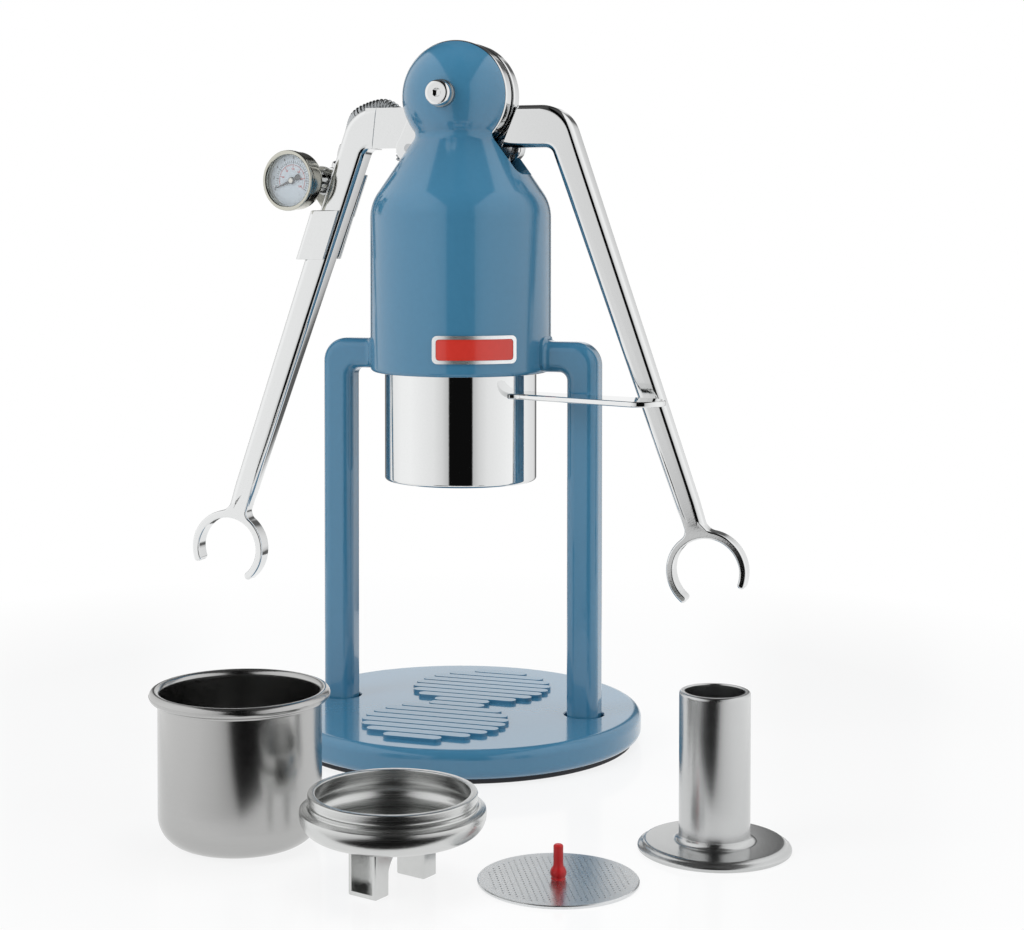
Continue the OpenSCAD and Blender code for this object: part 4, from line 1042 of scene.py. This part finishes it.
class MESH_OT_espresso_fittings(bpy.types.Operator):
    """Stem, nut, elbow and ferrule behind the gauge"""
    bl_idname = "mesh.espresso_fittings"
    bl_label = "Gauge fittings"

    def execute(self, context):
        at, elbow = gauge_place(), elbow_place()
        stem = [(1.2, -11.0), (4.0, -11.0), (4.0, -33.6), (4.4, -33.9), (4.4, -34.6), (4.0, -34.95),
                (1.2, -34.95), (1.2, -11.0)]
        tube = turned("stem_tube", stem, 64)
        nut = turned("nut", [(4.3, -15.0), (5.6, -15.0), (6.2, -14.5), (6.2, -11.6), (5.6, -11.1),
                             (4.3, -11.1), (4.3, -15.0)], 6)
        collar = turned("collar", [(4.1, -17.2), (5.2, -17.2), (5.5, -16.9), (5.5, -15.5), (5.2, -15.1),
                                   (4.1, -15.1), (4.1, -17.2)], 48)
        stem = place(joined([tube, nut, collar], "stem_tube"), at)
        finish(stem, "left_lever", polish(), ("gauge_stem",), 30)
        box = traced("elbow_body", standing(rounded_frame(9.5, 12.5, 2.4), 4.49), (0, -8.98 * MM, 0))
        rounded(box, 0.9, 3, 40)
        finish(place(box, elbow), "left_lever", polish(), ("gauge_elbow",))
        neck = [(1.6, 0.05), (4.7, 0.05), (4.9, 0.3), (4.9, 2.1), (4.5, 2.5), (3.3, 3.3), (3.2, 3.6),
                (3.5, 5.2), (3.9, 7.0), (3.9, 10.4), (3.6, 10.95), (1.6, 10.95), (1.6, 0.05)]
        ferrule = place(turned("ferrule_body", neck, 64), elbow @ shift(0, 0, 6.25))
        finish(ferrule, "left_lever", polish(), ("hose_ferrule",))
        return {"FINISHED"}


class MESH_OT_espresso_clip(bpy.types.Operator):
    """Folded sheet clip that holds the gauge's stem on the left forearm"""
    bl_idname = "mesh.espresso_clip"
    bl_label = "Gauge clip"

    def forearm(self, z, axle):
        """The outer and the inner side of the left forearm at a height."""
        fall = axle - BEND_DROP - z
        slant = math.radians(SLANT)
        middle = -(49.5 + fall * math.tan(slant))
        half = (12.2 - 2.2 * fall / 151.8) / 2 / math.cos(slant)
        return middle - half, middle + half

    def execute(self, context):
        axle = sizes()["axle_height"]
        low, high, top, stem_z = axle - 72.0, axle - 50.0, axle - 34.0, axle - GAUGE_DROP
        outer, inner = self.forearm(low, axle)
        left, lap = outer - 3.6, inner - 2.0
        front, rear, thick, fold = -10.3, 6.3, 1.5, 2.3
        loop = [(lap, front)] + arc(left + fold, front + fold, fold, 270, 180, 6)
        loop += arc(left + fold, rear - fold, fold, 180, 90, 6) + [(inner, rear), (inner, rear - thick)]
        loop += arc(left + fold, rear - fold, fold - thick, 90, 180, 5)
        loop += arc(left + fold, front + fold, fold - thick, 180, 270, 5) + [(lap, front + thick)]
        lean = self.forearm(high, axle)[0] - outer
        sheet = traced("clip_sheet", lying(loop, low), (lean * MM, 0, (high - low) * MM))
        rounded(sheet, 0.35, 2, 50)
        stem_x = -68.90
        from_z = high - 3
        a, b = self.forearm(from_z, axle)
        ear = [(a, from_z), (b, from_z), (self.forearm(top, axle)[1], top)]
        ear += arc(stem_x, stem_z, 7, 52, 236, 20)
        plate = traced("clip_ear", standing(ear, rear - 0.02), (0, -(thick - 0.04) * MM, 0))
        hole = rod("hole", 4.05, -60, 10, gauge_place(), 48)
        combine(plate, hole, "DIFFERENCE")
        rounded(plate, 0.3, 2, 50)
        clip = joined([sheet, plate], "clip_sheet")
        finish(clip, "left_lever", polish(), ("gauge_clip",), 40)
        return {"FINISHED"}


# Ribbed hose

class MESH_OT_espresso_hose(bpy.types.Operator):
    """Ribbed hose from the ferrule over the left arm into the slot of the head"""
    bl_idname = "mesh.espresso_hose"
    bl_label = "Ribbed hose"

    def route(self, axle):
        slant, yaw = math.radians(SLANT), math.radians(GAUGE_YAW)
        way = Vector((math.sin(slant) * math.cos(yaw), -math.sin(slant) * math.sin(yaw), math.cos(slant)))
        start = Vector((*ELBOW_AT, axle - GAUGE_DROP)) + 17.45 * way
        over = [(-53, 10.2, -7.2), (-46, 9.2, -3.8), (-38.5, 8.6, -2.8), (-32.5, 7.6, -6.5),
                (-29.8, 6.6, -13), (-29.5, 6.5, -21), (-29.5, 6.5, -28)]
        return [start, start + 7 * way] + [Vector((x, y, z + axle)) for x, y, z in over]

    def smooth(self, knots, steps=12):
        """Points on one smooth curve through all the knots."""
        found = []
        for i in range(len(knots) - 1):
            a, b = knots[max(0, i - 1)], knots[i]
            c, d = knots[i + 1], knots[min(len(knots) - 1, i + 2)]
            for j in range(steps):
                t = j / steps
                found.append(0.5 * (2 * b + (c - a) * t + (2 * a - 5 * b + 4 * c - d) * t * t
                                    + (3 * b - a - 3 * c + d) * t ** 3))
        return found + [knots[-1]]

    def execute(self, context):
        points = self.smooth(self.route(sizes()["axle_height"]))
        length = sum((b - a).length for a, b in zip(points, points[1:]))
        path = bpy.data.curves.new("hose_route", "CURVE")
        path.dimensions = "3D"
        path.twist_mode = "MINIMUM"
        spline = path.splines.new("POLY")
        spline.points.add(len(points) - 1)
        for spot, point in zip(spline.points, points):
            spot.co = (*(point * MM), 1)
        guide = bpy.data.objects.new("hose_route", path)
        context.collection.objects.link(guide)
        pitch = 1.6
        wave = [(2.62, 0), (2.66, 0.22), (2.98, 0.42), (3.16, 0.62), (3.2, 0.8), (3.16, 0.98), (2.98, 1.18),
                (2.66, 1.38), (2.62, pitch)]
        clear()
        skins = []
        for name, profile in (("hose_skin", wave), ("hose_bore", [(1.6, 0), (1.6, pitch)])):
            bpy.ops.mesh.primitive_circle_add(vertices=32, radius=profile[0][0] * MM)
            skin = named(name)
            edit(skin)
            last_r, last_z = profile[0]
            for r, z in profile[1:]:
                push((0, 0, (z - last_z) * MM))
                bpy.ops.transform.resize(value=(r / last_r, r / last_r, 1), center_override=(0, 0, z * MM))
                last_r, last_z = r, z
            bpy.ops.object.mode_set(mode="OBJECT")
            skins.append(skin)
        hose = joined(skins, "hose_skin")
        count = int(length / pitch)
        repeated(hose, (0, 0, pitch), count, use_merge_vertices=True, merge_threshold=1e-5)
        for end in (0, count * pitch):
            choose(hose, lambda co: abs(co.z - end) < 0.01)
            bpy.ops.mesh.bridge_edge_loops()
            bpy.ops.object.mode_set(mode="OBJECT")
        modify(hose, "CURVE", object=guide, deform_axis="POS_Z")
        bpy.data.objects.remove(guide)
        outward(hose)
        ribbed = metal("ribbed_steel", "#b4b7b9", roughness=0.2, variation=0.05, spread=0.06, bump=0.05,
                       fine=1600.0)
        finish(hose, "left_lever", ribbed, ("gauge_hose",), 60)
        return {"FINISHED"}


# Loose pieces

class MESH_OT_espresso_basket(bpy.types.Operator):
    """Brushed basket with a rolled rim and small holes in its floor"""
    bl_idname = "mesh.espresso_basket"
    bl_label = "Basket"

    def execute(self, context):
        size = sizes()
        x, y, top = -29.5, -167.6, size["basket_height"]
        out, wall, corner = 30.2, 0.8, 11.0
        profile = [(0.6, wall)] + arc(out - corner, corner, corner - wall, -90, 0, 12)
        rolled, rim_z = 31.35, top - 2.05
        profile += [(out - wall, top - 3.2)] + arc(rolled, rim_z, 1.95, 178, 0, 10)
        profile += arc(rolled, rim_z, 2.05, 0, -100, 8) + [(out + 0.25, top - 4.6), (out, top - 5.2)]
        profile += arc(out - corner, corner, corner, 0, -90, 14) + [(0.6, 0)]
        bowl = turned("basket_bowl", profile, 192)
        holes = []
        for ring in (1, 2, 3):
            for i in range(6 * ring):
                spot = turn(60 * i / ring, "Z") @ shift(5 * ring, 0, 0)
                holes.append(rod("hole", 0.6, -1, 2, spot, 10))
        combine(bowl, joined(holes, "holes"), "DIFFERENCE")
        place(bowl, shift(x, y, 0))
        brushed = metal("brushed_steel_basket", "#b6b6b5", roughness=0.19, variation=0.05, spread=0.05,
                        bump=0.035, lines=(260.0, 260.0, 5200.0), centre=(x, y))
        finish(bowl, "basket", brushed, ("basket",), 40)
        return {"FINISHED"}


class MESH_OT_espresso_spout(bpy.types.Operator):
    """Spout: a bowl with a brushed rim on two cast outlets with an arch between them"""
    bl_idname = "mesh.espresso_spout"
    bl_label = "Spout"

    def execute(self, context):
        x, y = 41.0, -195.0
        yaw = turn(-17, "Z")
        belly, low, top, rim, neck = 25.0, 18.0, 32.5, 29.4, 26.8
        profile = [(0.8, low), (25.4, low)] + arc(25.4, belly, 7, -80, 14, 14)
        profile += [(30.5, 27.5), (29.7, 27.55), (rim, 27.8), (rim, 28.8), (28.7, 29.0), (28.6, 29.2),
                    (28.6, 29.6), (28.8, 29.75), (rim, 29.9), (rim, 31.9), (29.25, 32.3), (28.9, top),
                    (27.4, top), (27.0, 32.35), (neck, 32.0), (neck, 28.2), (27.3, 27.2)]
        profile += arc(25.4, belly, 5.4, 8, -90, 12) + [(0.8, low + 1.6)]
        bowl = turned("spout_shell", profile, 192)
        for side in (-1, 1):
            cut = block("drain", (-4.4, side * 13.5 - 2.3, low - 1), (4.4, side * 13.5 + 2.3, low + 3))
            combine(bowl, place(cut, yaw), "DIFFERENCE")
        place(bowl, shift(x, y, 0))
        brushed = metal("turned_steel_spout", "#d3d4d3", roughness=0.25, variation=0.05, spread=0.06,
                        bump=0.05, lines=(1500.0, 1500.0, 4200.0), centre=(x, y))
        finish(bowl, "spout", brushed, ("spout_bowl",), 30)
        side_x, into = 17.25, low + 0.9
        outline = [(9.9, 0), (side_x, 0), (side_x, into), (-side_x, into), (-side_x, 0), (-9.9, 0)]
        outline += arc(0, 5, 10.4, 161, 19, 16)
        legs = traced("outlets", standing(outline, 6), (0, -12 * MM, 0))
        rounded(legs, 0.6, 3, 40)
        for side in (-1, 1):
            recess = [(side * 18.5, 1.6), (side * 12.1, 1.6)]
            recess += soft_corner((side * 12.1, low - 6), (side * 11.6, low - 1), (side * 11.2, low + 4), 5)
            recess += [(side * 18.5, low + 4)]
            cut = traced("recess", standing(recess, 4.5), (0, -9.0 * MM, 0))
            outward(cut)
            combine(legs, cut, "DIFFERENCE")
        cast = metal("polished_casting", "#d2d3d2", roughness=0.24, variation=0.04, spread=0.05, bump=0.16,
                     fine=500.0)
        place(legs, shift(x, y, 0) @ yaw @ turn(90, "Z"))
        finish(legs, "spout", cast, ("spout_bowl",), 30)
        return {"FINISHED"}


class MESH_OT_espresso_screen(bpy.types.Operator):
    """Round dispersion screen with a field of fine holes, and its red knob"""
    bl_idname = "mesh.espresso_screen"
    bl_label = "Dispersion screen"

    def execute(self, context):
        x, y, r, thick = 94.4, -174.2, 28.1, 1.2
        edge = [(1.32, 0), (r - 0.35, 0), (r, 0.3), (r, thick - 0.3), (r - 0.35, thick), (1.32, thick),
                (1.32, 0)]
        disc = turned("screen_disc", edge, 160)
        pitch, field, reach = 2.1, 24.6, 12
        hole = rod("holes", 0.33, -1, 3, shift(-reach * pitch, -reach * pitch, 0), 6)
        for way in ((pitch, 0, 0), (0, pitch, 0)):
            repeated(hole, way, 2 * reach + 1)

        def outside(co):
            ix, iy = round(co.x / pitch) * pitch, round(co.y / pitch) * pitch
            return math.hypot(ix, iy) > field or math.hypot(ix, iy) < 3.2

        choose(hole, outside)
        bpy.ops.mesh.delete(type="VERT")
        bpy.ops.object.mode_set(mode="OBJECT")
        combine(disc, place(hole, turn(25, "Z")), "DIFFERENCE")
        steel = metal("screen_steel", "#dcdedf", roughness=0.29, variation=0.04, spread=0.06, bump=0.08,
                      fine=1500.0)
        finish(place(disc, shift(x, y, 0)), "screen", steel, ("dispersion_screen",), 30)
        high = thick + 12
        knob = [(1.25, 0.1), (1.25, thick), (2.6, thick)] + arc(0, thick + 2.1, 2.85, -32, 42, 8)
        knob += [(1.8, thick + 4.6), (1.7, thick + 6), (1.72, high - 1.0)]
        knob += arc(0.9, high - 0.85, 0.85, 0, 80, 5)
        red = material("red_silicone_knob", list(context.scene.espresso_colours.knob), roughness=0.33,
                       variation=0.06, spread=0.06, bump=0.08, fine=1400.0)
        finish(place(turned("knob_body", knob, 64), shift(x, y, 0)), "screen", red,
               ("screen_knob",), 40)
        return {"FINISHED"}


class MESH_OT_espresso_tamper(bpy.types.Operator):
    """Tamper: a turned foot and an open tube as its grip"""
    bl_idname = "mesh.espresso_tamper"
    bl_label = "Tamper"

    def execute(self, context):
        size = sizes()
        x, y, high, grip = 138.5, -121.0, size["tamper_height"], 13.0
        foot = [(grip - 0.5, 0), (27.5, 0), (28.0, 0.4), (28.0, 1.2), (27.6, 1.75), (26.7, 2.1), (26.2, 2.6),
                (25.6, 3.15), (24.6, 3.4)]
        foot += arc(grip + 2.4, 5.8, 2.4, -90, -178, 8) + [(grip - 0.5, 5.9)]
        tube = [(grip - 2.2, 2.6), (grip - 0.02, 2.6), (grip - 0.02, high - 1.2)]
        tube += arc(grip - 1.0, high - 0.98, 0.98, 0, 90, 5)
        tube += [(grip - 1.9, high), (grip - 2.2, high - 0.5), (grip - 2.2, 2.6)]
        satin = metal("turned_aluminium", "#c6c7c7", roughness=0.22, variation=0.05, spread=0.06, bump=0.05,
                      lines=(1300.0, 1300.0, 5200.0), centre=(x, y))
        turnings = (("tamper_foot", foot, "tamper_base"), ("tamper_grip", tube, "tamper_stem"))
        for name, profile, node in turnings:
            piece = place(turned(name, profile, 160), shift(x, y, 0))
            finish(piece, "tamper", satin, (node,), 35)
        return {"FINISHED"}


class MESH_OT_espresso_inside(bpy.types.Operator):
    """Finishes of the working pieces inside, which keep the shape of the frame"""
    bl_idname = "mesh.espresso_inside"
    bl_label = "Inner pieces"

    def execute(self, context):
        silicone = material("red_silicone_seal", rgb("#a92f2a"), roughness=0.4, variation=0.08, spread=0.06,
                            bump=0.1)
        alloy = metal("machined_aluminium", "#c9cacb", roughness=0.3, variation=0.05, spread=0.06, bump=0.1,
                      fine=1600.0)
        finishes = {"rod_guide_bush": brass(), "left_arm_bush": brass(), "right_arm_bush": brass(),
                    "gauge_bourdon_tube": brass(), "gauge_movement": brass(), "piston_seal": silicone,
                    "piston_head": alloy, "piston_rod": chrome()}
        hidden = {node for piece in bpy.data.objects for node in piece.get("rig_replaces", [])}
        for name, node in frame["nodes"].items():
            if name in hidden:
                continue
            node.data.materials.clear()
            node.data.materials.append(finishes.get(name, plain_steel()))
        return {"FINISHED"}


# Stage

class MESH_OT_espresso_stage(bpy.types.Operator):
    """Pale floor, white surroundings, a room that mirrors see, soft lamps and the camera"""
    bl_idname = "mesh.espresso_stage"
    bl_label = "Stage"

    eye_azimuth = 18.6
    near, far = 0.24, 0.42
    brightest = 1.2

    def seen_directly(self, tree):
        """1 for rays from the eye, a mirror or a pane, and 0 for soft light."""
        rays = add(tree, "ShaderNodeLightPath").outputs
        mirrored = reckon(tree, "MAXIMUM", rays["Is Camera Ray"], rays["Is Glossy Ray"])
        return reckon(tree, "MAXIMUM", mirrored, rays["Is Transmission Ray"])

    def mix(self, tree, share, first, second):
        """Ends a material in a share between two shaders."""
        mixed = add(tree, "ShaderNodeMixShader", {"Fac": share, 1: first.outputs[0], 2: second.outputs[0]})
        feed(tree.nodes["Material Output"], {"Surface": mixed.outputs[0]})

    def surroundings(self, scene):
        world = bpy.data.worlds.new("white_room")
        scene.world = world
        world.use_nodes = True
        tree = world.node_tree
        level = spread_over(tree, self.seen_directly(tree), 0, 1, 0.46, 1.0)
        feed(tree.nodes["Background"], {"Color": (1, 1, 1, 1), "Strength": level})

    def floor(self):
        """A floor that turns plain white away from the pieces."""
        clear()
        bpy.ops.mesh.primitive_plane_add(size=14)
        ground = named("floor")
        made, tree = new_material("pale_floor")
        where = own_place(tree)
        cloud = add(tree, "ShaderNodeGroup", {"Vector": where}, node_tree=cloud_group())
        lit = tree.nodes["Principled BSDF"]
        feed(lit, {"Base Color": (0.93, 0.94, 0.95, 1), "IOR": 1.42,
                   "Roughness": spread_over(tree, cloud.outputs["Value"], 0, 1, 0.06, 0.12)})
        away = add(tree, "ShaderNodeVectorMath", {0: where}, operation="LENGTH").outputs["Value"]
        white = spread_over(tree, away, self.near, self.far, 0.82, 1.0)
        share = reckon(tree, "MULTIPLY", white, self.seen_directly(tree))
        self.mix(tree, share, lit, add(tree, "ShaderNodeEmission"))
        ground.data.materials.append(made)

    def room_tones(self, tree, angle):
        """The room's brightness by the angle from the eye's direction."""
        stops = ((0, 0.005), (16.6, 0.005), (18.2, 0.62), (27, 0.82), (40, 0.97), (80, 1.12), (100, 1.1),
                 (126, 0.95), (142, 0.88), (150, 0.6), (153, 0.12), (160, 0.12), (166, 0.98), (180, 1.0))
        tones = add(tree, "ShaderNodeValToRGB", {"Fac": reckon(tree, "DIVIDE", angle, math.pi)})
        ramp = tones.color_ramp
        for degrees, level in stops[1:-1]:
            ramp.elements.new(degrees / 180)
        for element, (degrees, level) in zip(ramp.elements, stops):
            element.position = degrees / 180
            element.color = (*[level / self.brightest] * 3, 1)
        return tones.outputs["Color"]

    def mirror_room(self):
        """A round room that only mirrors see: walls that are bright at the sides and dark towards the eye,
        a dark lid over them, and a strip of floor in the same tones."""
        clear()
        radius, high, lift = 0.8, 2.0, 0.003
        bpy.ops.mesh.primitive_cylinder_add(vertices=144, radius=radius, depth=high,
                                            location=(0, 0, high / 2 + lift))
        room = named("mirror_room")
        place(room, Matrix.Identity(4))
        choose(room, lambda at, normal: normal.z < -0.9, "FACE")
        bpy.ops.mesh.inset(thickness=radius - self.near)
        bpy.ops.mesh.delete(type="FACE")
        bpy.ops.mesh.select_all(action="SELECT")
        bpy.ops.mesh.flip_normals()
        bpy.ops.object.mode_set(mode="OBJECT")
        made, tree = new_material("mirror_room")
        faced = {"Vector": own_place(tree), "Rotation": (0, 0, math.radians(-self.eye_azimuth))}
        faced = add(tree, "ShaderNodeMapping", faced, vector_type="POINT")
        parts = add(tree, "ShaderNodeSeparateXYZ", {0: faced.outputs["Vector"]}).outputs
        side = reckon(tree, "ABSOLUTE", parts["X"])
        angle = reckon(tree, "ARCTAN2", side, reckon(tree, "MULTIPLY", parts["Y"], -1.0))
        widest = reckon(tree, "MAXIMUM", side, reckon(tree, "MULTIPLY", parts["Y"], 0.18))
        slope, foot = 1.7, 0.2
        lid = reckon(tree, "MULTIPLY_ADD", widest, slope, foot)
        under = reckon(tree, "SUBTRACT", lid, parts["Z"])
        glow = add(tree, "ShaderNodeEmission", {
            "Color": self.room_tones(tree, angle),
            "Strength": spread_over(tree, under, -0.03, 0.03, 0.1, self.brightest)})
        facing = add(tree, "ShaderNodeNewGeometry").outputs["Backfacing"]
        self.mix(tree, facing, glow, add(tree, "ShaderNodeBsdfTransparent"))
        room.data.materials.append(made)
        for ray in ("camera", "diffuse", "shadow", "transmission"):
            setattr(room, "visible_" + ray, False)

    def lamp(self, name, place_at, size, power):
        bpy.ops.object.light_add(type="AREA", location=place_at)
        lamp = bpy.context.object
        lamp.name = name
        lamp.data.shape = "SQUARE"
        lamp.data.size = size
        lamp.data.energy = power
        lamp.visible_glossy = False
        aim = Vector((0.02, -0.06, 0.14)) - lamp.location
        lamp.rotation_euler = aim.to_track_quat("-Z", "Y").to_euler()

    def execute(self, context):
        scene = context.scene
        scene.view_settings.view_transform = "Standard"
        self.surroundings(scene)
        self.floor()
        self.mirror_room()
        self.lamp("key_lamp", (-0.9, -1.1, 1.0), 0.9, 9.0)
        self.lamp("fill_lamp", (1.3, -0.5, 0.8), 0.8, 4.0)
        self.lamp("top_lamp", (0.1, 0.2, 1.5), 0.9, 7.0)
        eye, tilt, heading = (0.2788, -0.8275, 0.2278), math.radians(88.375), math.radians(18.619)
        bpy.ops.object.camera_add(location=eye, rotation=(tilt, 0, heading))
        camera = context.object
        camera.name = "photo_camera"
        lens = camera.data
        lens.lens, lens.sensor_width = 69.39, 36
        lens.shift_x, lens.shift_y = 0.0501, -0.1804
        lens.dof.use_dof = False
        scene.camera = camera
        return {"FINISHED"}


# Panel

PIECES = (MESH_OT_espresso_base, MESH_OT_espresso_legs, MESH_OT_espresso_bell, MESH_OT_espresso_badge,
          MESH_OT_espresso_axle, MESH_OT_espresso_arms, MESH_OT_espresso_portafilter, MESH_OT_espresso_gauge,
          MESH_OT_espresso_dial, MESH_OT_espresso_fittings, MESH_OT_espresso_clip, MESH_OT_espresso_hose,
          MESH_OT_espresso_basket, MESH_OT_espresso_spout, MESH_OT_espresso_screen, MESH_OT_espresso_tamper,
          MESH_OT_espresso_inside, MESH_OT_espresso_stage)


class VIEW3D_PT_espresso(bpy.types.Panel):
    """Sizes, colours and a button for each piece"""
    bl_idname = "VIEW3D_PT_espresso"
    bl_label = "Espresso maker"
    bl_space_type = "VIEW_3D"
    bl_region_type = "UI"
    bl_category = "Espresso"

    def draw(self, context):
        for values in (context.scene.espresso_sizes, context.scene.espresso_colours):
            box = self.layout.box()
            for key in values.__annotations__:
                box.prop(values, key)
        for piece in PIECES:
            self.layout.operator(piece.bl_idname)


CLASSES = (EspressoSizes, EspressoColours) + PIECES + (VIEW3D_PT_espresso,)


def register():
    for kind in CLASSES:
        bpy.utils.register_class(kind)
    bpy.types.Scene.espresso_sizes = bpy.props.PointerProperty(type=EspressoSizes)
    bpy.types.Scene.espresso_colours = bpy.props.PointerProperty(type=EspressoColours)


def unregister():
    del bpy.types.Scene.espresso_colours
    del bpy.types.Scene.espresso_sizes
    for kind in reversed(CLASSES):
        bpy.utils.unregister_class(kind)


def main():
    register()
    for piece in PIECES:
        group_name, operator = piece.bl_idname.split(".")
        if getattr(getattr(bpy.ops, group_name), operator)() != {"FINISHED"}:
            raise RuntimeError(piece.bl_label + " was not finished")
    clear()


if __name__ == "__main__":
    main()
